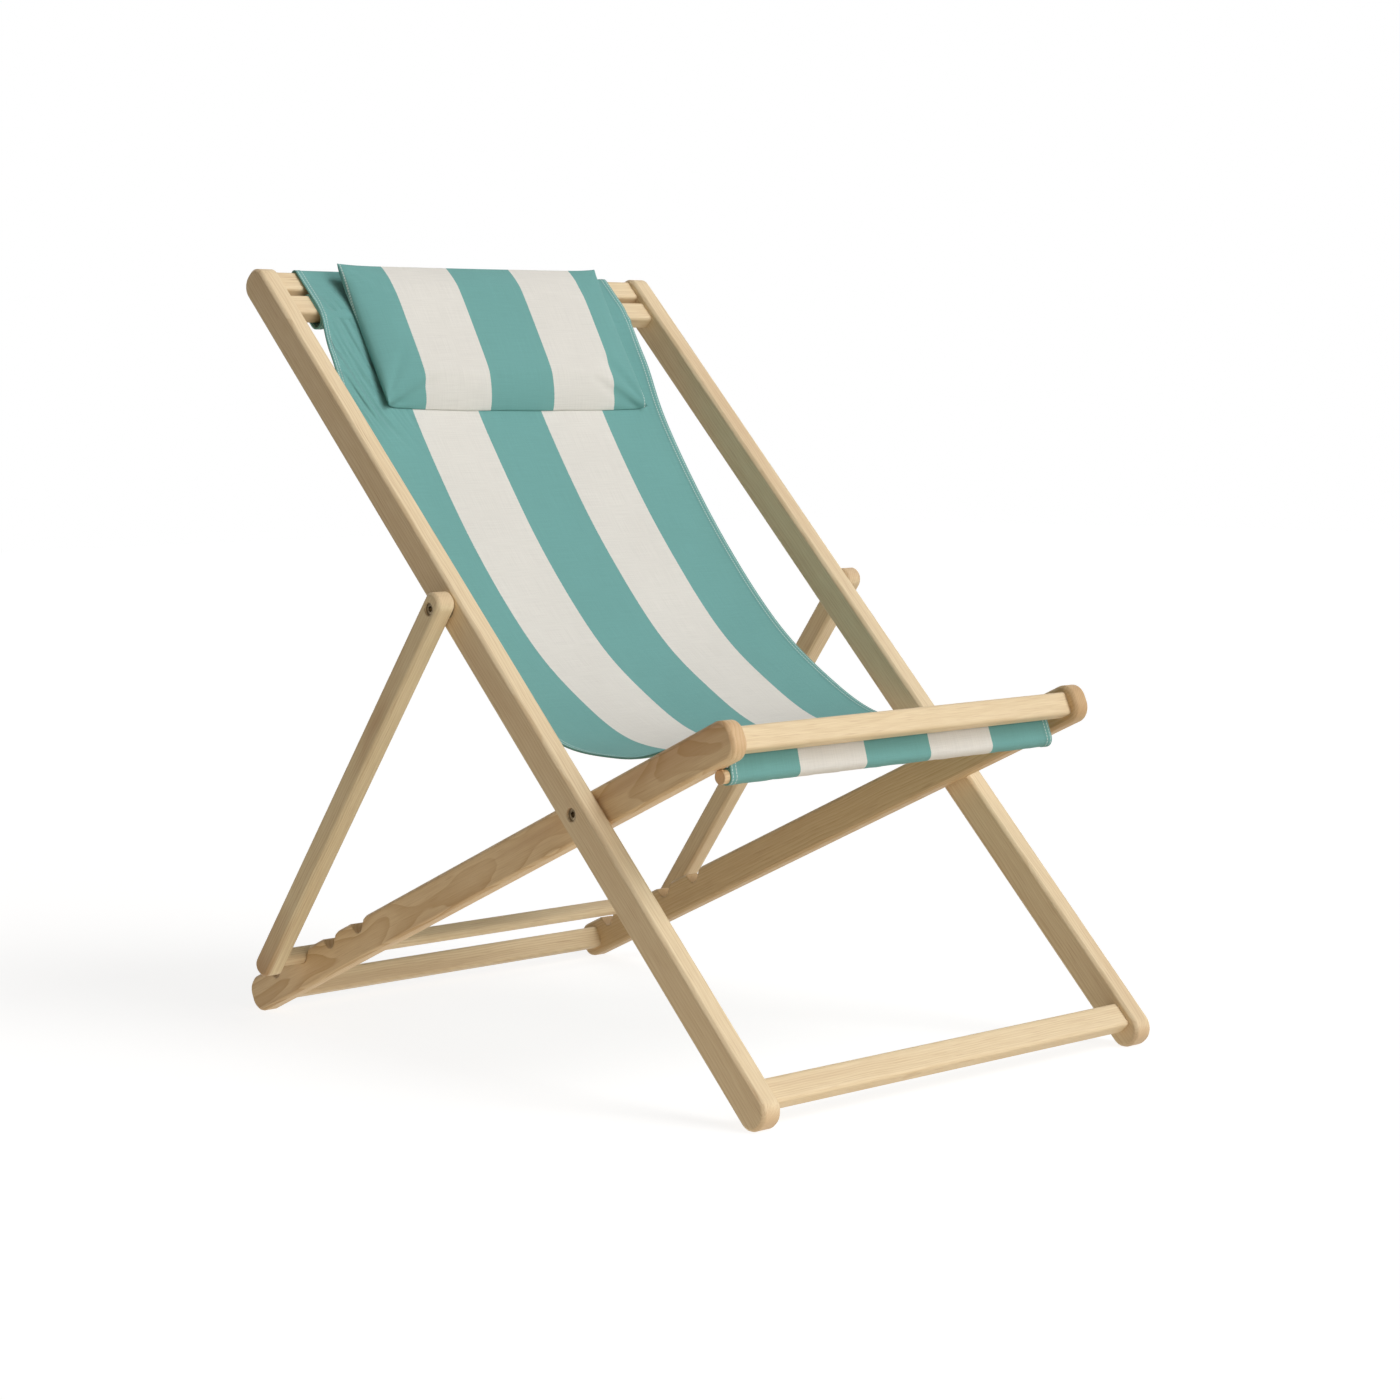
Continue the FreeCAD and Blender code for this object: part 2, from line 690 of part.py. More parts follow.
def pivot_bolt(label, side, placement, along, head_face, reach):
    """A bolt: a round head with a hexagon socket, sunk in head_face, and a shank into the inner rail."""
    head_start = f"{head_face} - Sizes.head_recess"
    head = cylinder(
        "head",
        "Sizes.bolt_head_diameter",
        from_face(side, head_start, "Sizes.bolt_head_height"),
        "Sizes.bolt_head_height",
        along,
        NO_OFFSET,
    )
    shank = cylinder(
        "shank", "Sizes.pivot_bolt_diameter", from_face(side, head_start, reach), reach, along, NO_OFFSET
    )
    blank = doc.addObject("Part::MultiFuse", "blank")
    blank.Shapes = [head, shank]
    socket = doc.addObject("Part::Prism", "socket")
    socket.Polygon = 6
    socket.setExpression("Circumradius", "Sizes.bolt_socket_width / sqrt(3)")
    socket.setExpression("Height", "Sizes.bolt_socket_depth")
    socket.Placement = FreeCAD.Placement(V(0, 0, 0), FreeCAD.Rotation(V(0, 1, 0), 90))
    socket.setExpression("Placement.Base.x", from_face(side, head_start, "Sizes.bolt_socket_depth"))
    socket.setExpression("Placement.Base.y", along)
    bolt = doc.addObject("Part::Cut", label)
    bolt.Label = label
    bolt.Base = blank
    bolt.Tool = socket
    bolt.Placement = placement
    return bolt


def ring(label, side, placement, along, face, length, outer, inner):
    """A washer whose outer end is at a face."""
    start = from_face(side, face, length)
    body = cylinder("body", outer, start, length, along, NO_OFFSET)
    bore = cylinder("bore", inner, start, length, along, NO_OFFSET)
    item = doc.addObject("Part::Cut", label)
    item.Label = label
    item.Base = body
    item.Tool = bore
    item.Placement = placement
    return item


def sling_path():
    """Centre line of the canvas in the back frame's side view, with the radius at each corner."""
    half = size["cloth_thickness"] / 2
    gap = size["cloth_clearance"]
    top_bar = size["back_rail_above_pivot"] - size["top_bar_below_end"]
    sleeve_bar = top_bar - size["top_bar_spacing"]
    front = size["bar_forward"] + size["bar_thickness"] / 2
    back = size["bar_forward"] - size["bar_thickness"] / 2
    top = top_bar + size["bar_width"] / 2 + gap + half
    behind = back - gap - half
    ahead = front + 2 * gap + 3 * half
    leave = sleeve_bar - size["bar_width"] / 2 - gap - half
    hang = [(size[f"sling_{run}_up"], -size[f"sling_{run}_sag"]) for run in ("back", "low", "seat")]
    bends = [size[f"sling_{run}_bend"] for run in ("sleeve", "back", "low", "seat")]
    bar_back = size["front_bar_behind_end"] - size["seat_rail_ahead_of_pivot"] + size["bar_thickness"] / 2
    corner = size["bar_round"] + gap + half
    over_bar = from_seat_to_back((bar_back + gap + half, size["seat_bar_width"] / 2 + size["bar_round"]))
    hem = from_seat_to_back(hem_joint())
    points = [(sleeve_bar, behind), (top, behind), (top, ahead), (leave, ahead), *hang, over_bar, hem]
    return points, [corner, corner, *bends, 2 * corner]


def dowel_place():
    """Centre of the loose dowel in the canvas's front hem, in the seat frame, below the rails."""
    along = size["front_bar_behind_end"] - size["seat_rail_ahead_of_pivot"] + size["sling_dowel_behind_bar"]
    below = -size["seat_rail_width"] / 2 - size["cloth_clearance"] - size["sling_dowel_diameter"] / 2
    return along, below


def hem_joint():
    """Where the canvas runs into the hem tube round the dowel, at the tube's front, in the seat frame."""
    along, below = dowel_place()
    middle = size["sling_dowel_diameter"] / 2 + size["cloth_clearance"] + size["cloth_thickness"] / 2
    return along - middle, below


def cloth_loop(body, name, outline):
    """Pads a closed tube of cloth: outline draws a closed shape grown by a distance."""
    sketch = side_sketch(body, name, "Sizes.sling_shift - Sizes.sling_width / 2")
    outline(sketch, size["cloth_clearance"])
    outline(sketch, size["cloth_clearance"] + size["cloth_thickness"])
    return pad(body, sketch, "Sizes.sling_width")


def make_sling():
    """The canvas: a sleeve round the second bar, over the top bar, the seat, and a hem tube at the front."""
    body = new_body("sling", BACK)
    points, radii = sling_path()
    sketch = side_sketch(body, "sheet", "Sizes.sling_shift - Sizes.sling_width / 2")
    ribbon(sketch, points, radii)
    pad(body, sketch, "Sizes.sling_width")

    def sleeve(drawing, grow):
        rounded_rectangle(
            drawing,
            f"{SLEEVE_BAR} - Sizes.bar_width / 2 - {grow}",
            f"{SLEEVE_BAR} + Sizes.bar_width / 2 + {grow}",
            f"Sizes.bar_forward - Sizes.bar_thickness / 2 - {grow}",
            f"Sizes.bar_forward + Sizes.bar_thickness / 2 + {grow}",
            f"Sizes.bar_round + {grow}",
        )

    def hem(drawing, grow):
        centre = from_seat_to_back(dowel_place())
        drawing.addGeometry(Part.Circle(V(*centre, 0), V(0, 0, 1), size["sling_dowel_diameter"] / 2 + grow))

    cloth_loop(body, "sleeve", sleeve)
    cloth_loop(body, "hem", hem)
    print("sling: cut length of the sheet", round(path_length(rounded_path(points, radii)), 1))
    return body


# The pillow's sections stand closer together towards its ends, where its crown falls off
PILLOW_SPANS = 10
PILLOW_SQUARENESS = 2.6
PILLOW_BACK_EDGE = 0.5


def make_pillow():
    """The headrest: a crowned cushion with pointed corners, flatter where it lies on the canvas."""
    place = FreeCAD.Placement(
        V(0, size["back_rail_above_pivot"] - size["pillow_below_end"], size["pillow_forward"]),
        FreeCAD.Rotation(X_AXIS, size["pillow_tilt"]),
    )
    body = new_body("headrest_pillow", BACK.multiply(place))
    sections = []
    for i in range(PILLOW_SPANS + 1):
        station = round(-math.cos(math.pi * i / PILLOW_SPANS), 6)
        fullness = math.sqrt(max(0.0, 1 - abs(station) ** PILLOW_SQUARENESS))
        height = size["pillow_height"] / 2 - size["pillow_draw_in"] * (1 - station**2)
        crown = size["pillow_edge"] + (size["pillow_crown"] - size["pillow_edge"]) * fullness
        back_edge = size["pillow_edge"] * PILLOW_BACK_EDGE
        back = back_edge + (size["pillow_back"] - back_edge) * fullness
        sketch = side_sketch(body, f"section_{i}", f"{station} * Sizes.pillow_width / 2")
        ends = [V(-height, 0, 0), V(height, 0, 0)]
        sketch.addGeometry(Part.Arc(ends[0], V(0, crown, 0), ends[1]))
        sketch.addGeometry(Part.Arc(ends[1], V(0, -back, 0), ends[0]))
        sections.append(sketch)
    loft = body.newObject("PartDesign::AdditiveLoft", "cushion")
    loft.Profile = sections[0]
    loft.Sections = sections[1:]
    loft.Ruled = True
    doc.recompute()
    return body


def flap_path():
    """Centre line of the flap that holds the pillow: over the top bar and down behind both bars."""
    half = size["cloth_thickness"] / 2
    gap = size["cloth_clearance"]
    points, _ = sling_path()
    top = points[1][0] + 2 * half + gap
    behind = points[1][1] - 2 * half - gap
    ahead = points[2][1] + size["flap_lead"]
    corner = size["bar_round"] + 3 * half + 2 * gap
    return [(top, ahead), (top, behind), (top - size["flap_drop"], behind)], [corner]


def make_flap():
    body = new_body("headrest_flap", BACK)
    points, radii = flap_path()
    across = "-Sizes.flap_width / 2"
    sketch = side_sketch(body, "sheet", across)
    ribbon(sketch, points, radii)
    pad(body, sketch, "Sizes.flap_width")
    loop = side_sketch(body, "hem", across)
    centre = V(*weight_place(), 0)
    for grow in (size["cloth_clearance"], size["cloth_clearance"] + size["cloth_thickness"]):
        loop.addGeometry(Part.Circle(centre, V(0, 0, 1), size["weight_diameter"] / 2 + grow))
    pad(body, loop, "Sizes.flap_width")
    return body


def weight_place():
    """Centre of the rod sewn into the flap's lower hem, in the back frame."""
    points, _ = flap_path()
    middle = size["weight_diameter"] / 2 + size["cloth_clearance"] + size["cloth_thickness"] / 2
    return points[-1][0], points[-1][1] - middle


def rod(label, placement, centre, diameter, length, shift="0"):
    """A loose round rod across the chair."""
    item = cylinder("rod", diameter, f"{shift} - {length} / 2", length, str(centre[0]), str(centre[1]))
    return group(label, [item], placement)


SIDES = (("left", 1), ("right", -1))
parts = []

# The three frames
for name, side in SIDES:
    parts.append(back_rail(f"back_rail_{name}", side))
    parts.append(seat_rail(f"seat_rail_{name}", side))
    parts.append(prop_strut(f"prop_strut_{name}", side))
BARS = [(BACK_BARS, BACK, BACK_INNER), (SEAT_BARS, SEAT, SEAT_INNER), (PROP_BARS, PROP, STRUT_INNER)]
for bars, placement, inner in BARS:
    for bar in bars:
        parts.append(crossbar(bar, placement, inner))

# Pivots: a bolt through the outer rail, a washer between the rails, and its thread in the inner rail
PIVOTS = [
    ("main", SEAT, "0", BACK_OUTER, BACK_INNER, SEAT_OUTER),
    ("prop", BACK, "Sizes.prop_pivot_height", STRUT_OUTER, STRUT_INNER, BACK_OUTER),
]
for pivot, placement, along, head_face, gap_face, screw_face in PIVOTS:
    reach = f"({head_face} - Sizes.head_recess - {screw_face} + Sizes.screw_depth)"
    gap = "(Sizes.frame_gap - Sizes.washer_clearance)"
    for name, side in SIDES:
        bolt = pivot_bolt(f"{pivot}_pivot_bolt_{name}", side, placement, along, head_face, reach)
        washer_face = f"({gap_face} - Sizes.washer_clearance)"
        washer = ring(
            f"{pivot}_pivot_washer_{name}",
            side,
            placement,
            along,
            washer_face,
            gap,
            "Sizes.washer_diameter",
            SHANK_HOLE,
        )
        parts += [bolt, washer]

# Canvas and headrest
parts.append(make_sling())
parts.append(
    rod(
        "sling_dowel",
        SEAT,
        dowel_place(),
        "Sizes.sling_dowel_diameter",
        "Sizes.sling_dowel_length",
        "Sizes.sling_dowel_shift",
    )
)
parts.append(make_pillow())
parts.append(make_flap())
weight_length = "(Sizes.flap_width - Sizes.weight_short)"
parts.append(rod("headrest_weight", BACK, weight_place(), "Sizes.weight_diameter", weight_length))

doc.recompute()

for item in doc.Objects:
    if "Invalid" in item.State or "Error" in item.State:
        raise ValueError(f"{item.Label} did not build: {item.State}")
for item in parts:
    if item.Shape.isNull() or not item.Shape.isValid():
        raise ValueError(f"{item.Label} has no valid shape")

os.makedirs("parts", exist_ok=True)
for item in parts:
    item.Shape.exportStep(f"parts/{item.Label}.step")

print("back frame at", round(back_angle, 3), "seat frame at", round(-seat_angle, 3))
print("strut at", round(-prop_angle, 3), "to the floor and", round(strut_slope, 3), "to the seat rail")
print("main pivot", main_pivot, "prop pivot", prop_pivot)
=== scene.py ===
# The look of the steamer deck chair: pale oiled timber, a striped canvas sling and a headrest pillow.
# Metres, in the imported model's frame: +Z up, X across the chair, the sitter faces -Y.

import json
import math

import bpy
import numpy as np
from mathutils import Matrix, Vector
from mathutils.bvhtree import BVHTree


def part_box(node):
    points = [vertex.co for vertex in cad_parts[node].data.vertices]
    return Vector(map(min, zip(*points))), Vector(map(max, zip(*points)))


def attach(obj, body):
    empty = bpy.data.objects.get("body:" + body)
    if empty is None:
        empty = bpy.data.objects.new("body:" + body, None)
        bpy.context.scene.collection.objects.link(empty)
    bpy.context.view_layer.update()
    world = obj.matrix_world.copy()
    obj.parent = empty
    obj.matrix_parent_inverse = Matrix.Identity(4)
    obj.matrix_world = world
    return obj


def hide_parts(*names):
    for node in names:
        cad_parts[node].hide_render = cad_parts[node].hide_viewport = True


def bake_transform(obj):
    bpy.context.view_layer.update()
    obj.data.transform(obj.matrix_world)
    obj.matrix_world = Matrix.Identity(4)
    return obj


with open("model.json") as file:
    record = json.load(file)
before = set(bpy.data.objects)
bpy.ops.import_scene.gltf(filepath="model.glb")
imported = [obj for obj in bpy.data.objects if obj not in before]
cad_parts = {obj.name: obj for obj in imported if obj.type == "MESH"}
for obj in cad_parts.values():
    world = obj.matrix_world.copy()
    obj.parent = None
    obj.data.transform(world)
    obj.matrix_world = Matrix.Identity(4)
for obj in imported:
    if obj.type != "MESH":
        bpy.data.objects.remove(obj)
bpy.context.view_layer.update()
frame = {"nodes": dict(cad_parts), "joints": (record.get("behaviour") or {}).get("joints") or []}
MM = 0.001
X = Vector((1, 0, 0))

# Where things are: the frames' directions and the bars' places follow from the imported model


def middle(node):
    low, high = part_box(node)
    return (low + high) / 2


pivots = {joint["name"]: Vector(joint["pos_m"]) for joint in frame["joints"]}
MAIN_PIVOT = pivots["frame_fold"]
PROP_PIVOT = pivots["prop_swing"]
BACK_UP = (PROP_PIVOT - MAIN_PIVOT).normalized()
BACK_FRONT = Vector((0, -BACK_UP.z, BACK_UP.y))
SEAT_AHEAD = (middle("front_bar") - middle("rear_bar")).normalized()
SEAT_UP = Vector((0, SEAT_AHEAD.z, -SEAT_AHEAD.y))
STRUT_DOWN = (middle("prop_bar") - PROP_PIVOT).normalized()


def reach(node, direction):
    """How far a node extends along a direction from the main pivot, in millimetres: low, middle, high."""
    places = [(vertex.co - MAIN_PIVOT).dot(direction) / MM for vertex in frame["nodes"][node].data.vertices]
    return min(places), (min(places) + max(places)) / 2, max(places)


def on_back(up, front):
    """Side-view point (y, z) of the back frame, in millimetres from the main pivot."""
    point = MAIN_PIVOT + (BACK_UP * up + BACK_FRONT * front) * MM
    return (point.y, point.z)


def on_seat(ahead, up):
    """Side-view point (y, z) of the seat frame, in millimetres from the main pivot."""
    point = MAIN_PIVOT + (SEAT_AHEAD * ahead + SEAT_UP * up) * MM
    return (point.y, point.z)


def heading(direction):
    """Angle of a side-view direction in degrees, from +Y towards +Z."""
    return math.degrees(math.atan2(direction.z, direction.y))


# Materials


class Nodes:
    """Short calls for building a material's node tree."""

    def __init__(self, name, color, roughness):
        self.material = bpy.data.materials.new(name)
        self.material.use_nodes = True
        self.material.diffuse_color = (*color, 1)
        self.tree = self.material.node_tree
        self.shader = self.tree.nodes["Principled BSDF"]
        self.shader.inputs["Base Color"].default_value = (*color, 1)
        self.shader.inputs["Roughness"].default_value = roughness

    def add(self, kind, **settings):
        node = self.tree.nodes.new(kind)
        for key, value in settings.items():
            setattr(node, key, value)
        return node

    def put(self, socket, value):
        if isinstance(value, bpy.types.NodeSocket):
            self.tree.links.new(value, socket)
        elif value is not None:
            socket.default_value = value

    def math(self, operation, a, b=None):
        node = self.add("ShaderNodeMath", operation=operation)
        self.put(node.inputs[0], a)
        self.put(node.inputs[1], b)
        return node.outputs[0]

    def vector(self, operation, a, b=None):
        node = self.add("ShaderNodeVectorMath", operation=operation)
        self.put(node.inputs[0], a)
        self.put(node.inputs[1], b)
        return node.outputs["Value"] if operation in ("LENGTH", "DOT_PRODUCT") else node.outputs[0]

    def split(self, vector):
        node = self.add("ShaderNodeSeparateXYZ")
        self.put(node.inputs[0], vector)
        return node.outputs

    def join(self, x, y, z):
        node = self.add("ShaderNodeCombineXYZ")
        for socket, value in zip(node.inputs, (x, y, z)):
            self.put(socket, value)
        return node.outputs[0]

    def noise(self, vector, scale, detail=2.0, roughness=0.5):
        node = self.add("ShaderNodeTexNoise")
        self.put(node.inputs["Vector"], vector)
        self.put(node.inputs["Scale"], scale)
        self.put(node.inputs["Detail"], detail)
        self.put(node.inputs["Roughness"], roughness)
        return node.outputs["Fac"]

    def ramp(self, value, stops):
        node = self.add("ShaderNodeValToRGB")
        points = node.color_ramp.elements
        while len(points) < len(stops):
            points.new(0.5)
        for point, (place, level) in zip(points, stops):
            point.position = place
            point.color = (level, level, level, 1)
        self.put(node.inputs[0], value)
        return node.outputs["Color"]

    def mix(self, factor, a, b, blend="MIX"):
        node = self.add("ShaderNodeMix", data_type="RGBA", blend_type=blend)
        self.put(node.inputs[0], factor)
        self.put(node.inputs[6], (*a, 1) if isinstance(a, tuple) else a)
        self.put(node.inputs[7], (*b, 1) if isinstance(b, tuple) else b)
        return node.outputs[2]

    def range(self, value, low, high, to_low=0.0, to_high=1.0, smooth=False):
        node = self.add("ShaderNodeMapRange", interpolation_type="SMOOTHSTEP" if smooth else "LINEAR")
        for socket, item in zip(node.inputs, (value, low, high, to_low, to_high)):
            self.put(socket, item)
        return node.outputs[0]

    def vary(self, noise, low, high):
        """Spreads a noise, most of which lies between 0.3 and 0.7, over a range."""
        return self.range(noise, 0.3, 0.7, low, high)

    def bump(self, height, strength, distance, before=None):
        node = self.add("ShaderNodeBump")
        self.put(node.inputs["Height"], height)
        self.put(node.inputs["Strength"], strength)
        self.put(node.inputs["Distance"], distance)
        self.put(node.inputs["Normal"], before)
        return node.outputs[0]

    def finish(self, color, roughness=None, normal=None):
        self.put(self.shader.inputs["Base Color"], color)
        self.put(self.shader.inputs["Roughness"], roughness)
        self.put(self.shader.inputs["Normal"], normal)
        return self.material


EARLY_WOOD = (0.905, 0.755, 0.520)
LATE_WOOD = (0.600, 0.410, 0.205)
STREAK = (0.470, 0.255, 0.120)
END_GRAIN = (0.610, 0.400, 0.225)
EASED_EDGE = 3.2 * MM
WOOD_ROUGHNESS = (0.46, 0.60)
WOOD_SPECULAR = 0.3
# How dark the wood is through one ring: pale early wood, then a dark band that ends sharply
RING = [(0.0, 0.1), (0.5, 0.25), (0.84, 0.85), (0.93, 1.0), (1.0, 0.1)]
RING_RIPPLE_DEPTH, RING_UNEVENNESS, FAINTEST_RING = 0.5, 1.6, 0.45
# Textures of the wood: their scale, and a factor on it along the grain (below 1 draws them out)
DRIFTS = ((2.0, 1.5), (3.0, 2.5))
RING_RIPPLE = (80, 0.12)
RING_FADE = (26, 0.12)
BAND = (30, 0.06)
OUTSIDE_BAND = (20, 0.2)
FIBRE = (1400, 0.02)
PORE = (620, 0.035)


def make_wood(node, along, seed, figure, tint_and_painted_shade, streak):
    """Pale softwood: growth rings round a pith line beside the piece, with fine fibres and short pores."""
    nodes = Nodes(f"wood_{node}", EARLY_WOOD, 0.5)
    centre = middle(node)
    place = nodes.vector("SUBTRACT", nodes.add("ShaderNodeTexCoord").outputs["Object"], tuple(centre))
    across = X if abs(along.x) < 0.5 else Vector((0, 1, 0))
    side = along.cross(across).normalized()
    length = nodes.vector("DOT_PRODUCT", place, tuple(along))
    first = nodes.vector("DOT_PRODUCT", place, tuple(across))
    second = nodes.vector("DOT_PRODUCT", place, tuple(side))
    # Each piece takes its textures from another place
    shift = (0.37 * seed, 0.61 * seed, 0.83 * seed)
    local = nodes.vector("ADD", nodes.join(first, length, second), shift)

    def grain(texture, detail=1.0, roughness=0.5):
        """Noise that has its own scale along the grain."""
        scale, lengthwise = texture
        return nodes.noise(nodes.vector("MULTIPLY", local, (1, lengthwise, 1)), scale, detail, roughness)

    # Growth rings: pointed arches on flat faces where the pith line wanders, and straight lines elsewhere
    pith_angle, pith_away, wander, rings, contrast = figure
    pith = (pith_away * math.cos(pith_angle), 0.0, pith_away * math.sin(pith_angle))
    drift = [nodes.vary(grain(texture), -wander, wander) for texture in DRIFTS]
    bent = nodes.vector("ADD", nodes.join(first, 0.0, second), nodes.join(drift[0], 0.0, drift[1]))
    radial = nodes.vector("LENGTH", nodes.vector("SUBTRACT", bent, pith))
    ripple = nodes.math("MULTIPLY", grain(RING_RIPPLE, 2.0), RING_RIPPLE_DEPTH / rings)
    years = nodes.math("MULTIPLY", nodes.math("ADD", radial, ripple), rings)
    uneven = nodes.math("MULTIPLY", nodes.noise(years, 0.55, 1.0), RING_UNEVENNESS)
    ring = nodes.ramp(nodes.math("FRACT", nodes.math("ADD", years, uneven)), RING)
    strength = nodes.vary(grain(RING_FADE), FAINTEST_RING * contrast, contrast)
    color = nodes.mix(nodes.math("MULTIPLY", ring, strength), EARLY_WOOD, LATE_WOOD)
    # Warm bands that follow the grain
    if node in STREAKED_OUTSIDE:
        band = nodes.range(grain(OUTSIDE_BAND, 2.0), 0.42, 0.68, smooth=True)
        band = nodes.math("MULTIPLY", band, nodes.range(first, -3 * MM, -10 * MM, smooth=True))
    else:
        band = nodes.range(grain(BAND, 2.0), 0.48, 0.74, smooth=True)
    color = nodes.mix(nodes.math("MULTIPLY", band, streak), color, STREAK)
    # Fine fibres and short pores
    fibre = grain(FIBRE, 2.0, 0.6)
    color = nodes.mix(nodes.range(fibre, 0.35, 0.72, 0.0, 0.36), color, LATE_WOOD)
    pore = nodes.range(grain(PORE), 0.64, 0.73)
    color = nodes.mix(nodes.math("MULTIPLY", pore, 0.25), color, STREAK)
    # End grain drinks more oil and is darker
    normal = nodes.add("ShaderNodeNewGeometry").outputs["Normal"]
    faces_end = nodes.math("ABSOLUTE", nodes.vector("DOT_PRODUCT", normal, tuple(along)))
    faces_end = nodes.math("MULTIPLY", nodes.range(faces_end, 0.3, 0.95, smooth=True), 0.5)
    color = nodes.mix(faces_end, color, END_GRAIN)
    # The piece's tint multiplies the colour; on the seat rail on the sitter's left it includes painted shade
    color = nodes.mix(1.0, color, tint_and_painted_shade, "MULTIPLY")
    height = nodes.math("SUBTRACT", nodes.math("MULTIPLY", fibre, 0.6), nodes.math("MULTIPLY", pore, 0.7))
    eased = nodes.add("ShaderNodeBevel", samples=6)
    eased.inputs["Radius"].default_value = EASED_EDGE
    rough = nodes.vary(nodes.noise(local, 60, 2.0), *WOOD_ROUGHNESS)
    nodes.shader.inputs["Specular IOR Level"].default_value = WOOD_SPECULAR
    return nodes.finish(color, rough, nodes.bump(height, 0.2, 0.4 * MM, eased.outputs[0]))


TEAL = (0.180, 0.425, 0.410)
CREAM = (0.815, 0.802, 0.758)
THREAD = (0.66, 0.78, 0.74)
THREAD_COVER = 0.85
STRIPE = 92 * MM
STRIPE_WANDER = 0.6 * MM
YARN = 0.55 * MM
SLUB_SCALE, SLUB_DRAWN_OUT = 1300, 0.02
STITCH = 3.2 * MM
STITCH_WIDTH = 0.65 * MM
STITCH_GAP = 0.25
PUCKER_REACH = 12 * MM
CLOTH_SHEEN, CLOTH_SHEEN_ROUGHNESS, CLOTH_SPECULAR = 0.12, 0.5, 0.15


def striped(nodes, u, flat, stripe_edges):
    """Teal and cream in turn, with edges that stray a little as the yarns do."""
    stray = nodes.math("SUBTRACT", nodes.noise(flat, 900, 0.0), 0.5)
    place = nodes.math("ADD", u, nodes.math("MULTIPLY", stray, STRIPE_WANDER))
    count = 0.0
    for edge in stripe_edges:
        count = nodes.math("ADD", count, nodes.math("GREATER_THAN", place, edge))
    is_cream = nodes.math("GREATER_THAN", nodes.math("MODULO", count, 2.0), 0.5)
    return nodes.mix(is_cream, TEAL, CREAM)


def woven(nodes, u, v, flat):
    """Height of the plain weave, and of the slubs: thicker stretches of yarn both ways."""
    threads = [nodes.math("SINE", nodes.math("MULTIPLY", axis, math.pi / YARN)) for axis in (u, v)]
    warp, weft = (nodes.math("ABSOLUTE", thread) for thread in threads)
    slubs = []
    for run in ((1, SLUB_DRAWN_OUT, 1), (SLUB_DRAWN_OUT, 1, 1)):
        slubs.append(nodes.noise(nodes.vector("MULTIPLY", flat, run), SLUB_SCALE, 1.0))
    return nodes.math("MULTIPLY", warp, weft), nodes.math("MULTIPLY", nodes.math("ADD", *slubs), 0.5)


def sewn(nodes, u, v, color, stitch_lines):
    """Dashes of pale thread: the colour with them, the groove they lie in, and the nearness to a seam."""
    groove = 0.0
    beside = 0.0
    for axis, line in stitch_lines:
        place, run = (u, v) if axis == "u" else (v, u)
        offset = nodes.math("ABSOLUTE", nodes.math("SUBTRACT", place, line))
        near = nodes.range(offset, STITCH_WIDTH * 0.6, STITCH_WIDTH, 1.0, 0.0)
        part = nodes.math("FRACT", nodes.math("MULTIPLY", run, 1 / STITCH))
        dash = nodes.math("MULTIPLY", near, nodes.math("GREATER_THAN", part, STITCH_GAP))
        color = nodes.mix(nodes.math("MULTIPLY", dash, THREAD_COVER), color, THREAD)
        groove = nodes.math("MAXIMUM", groove, near)
        beside = nodes.math("MAXIMUM", beside, nodes.range(offset, 0.0, PUCKER_REACH, 1.0, 0.0))
    return color, groove, beside


def creases(nodes, u, v, start, end, half):
    """Creases that run inwards from the edge on the sitter's right, over a stretch of the cloth's length."""
    inward = nodes.math("MULTIPLY", u, -1.0)
    slanted = nodes.math("ADD", inward, nodes.math("MULTIPLY", v, 0.4))
    crease = nodes.noise(nodes.join(slanted, nodes.math("MULTIPLY", v, 0.12), 0.0), 90, 1.0)
    from_middle = nodes.math("ABSOLUTE", nodes.math("SUBTRACT", v, (start + end) / 2))
    shown = nodes.range(from_middle, (end - start) * 0.2, (end - start) / 2, 1.0, 0.0, smooth=True)
    shown = nodes.math("MULTIPLY", shown, nodes.range(inward, half * 0.5, half * 0.8))
    return nodes.math("MULTIPLY", crease, shown)


def make_canvas(name, stripe_edges, stitch_lines, creased=None):
    """Plain-woven cotton duck. The UV map is the flat cloth in metres: U across, V along."""
    nodes = Nodes(name, TEAL, 0.85)
    flat = nodes.add("ShaderNodeUVMap", uv_map="cloth").outputs[0]
    u, v, _ = nodes.split(flat)
    weave, slub = woven(nodes, u, v, flat)
    shade = nodes.math("ADD", nodes.vary(slub, 0.93, 1.04), nodes.math("MULTIPLY", weave, 0.05))
    shade = nodes.math("MULTIPLY", shade, nodes.vary(nodes.noise(flat, 9, 3.0), 0.975, 1.01))
    color = striped(nodes, u, flat, stripe_edges)
    color = nodes.mix(1.0, color, nodes.join(shade, shade, shade), "MULTIPLY")
    color, groove, beside = sewn(nodes, u, v, color, stitch_lines)
    height = nodes.math("ADD", weave, nodes.math("MULTIPLY", slub, 0.8))
    height = nodes.math("SUBTRACT", height, nodes.math("MULTIPLY", groove, 1.5))
    normal = nodes.bump(height, 0.35, 0.3 * MM)
    if stitch_lines:
        stretch = (0.35, 1, 1) if stitch_lines[0][0] == "u" else (1, 0.35, 1)
        pucker = nodes.noise(nodes.vector("MULTIPLY", flat, stretch), 110, 1.0)
        normal = nodes.bump(nodes.math("MULTIPLY", pucker, beside), 0.5, 1.8 * MM, normal)
    if creased:
        normal = nodes.bump(creases(nodes, u, v, *creased), 1.0, 10 * MM, normal)
    nodes.shader.inputs["Sheen Weight"].default_value = CLOTH_SHEEN
    nodes.shader.inputs["Sheen Roughness"].default_value = CLOTH_SHEEN_ROUGHNESS
    nodes.shader.inputs["Specular IOR Level"].default_value = CLOTH_SPECULAR
    return nodes.finish(color, None, normal)


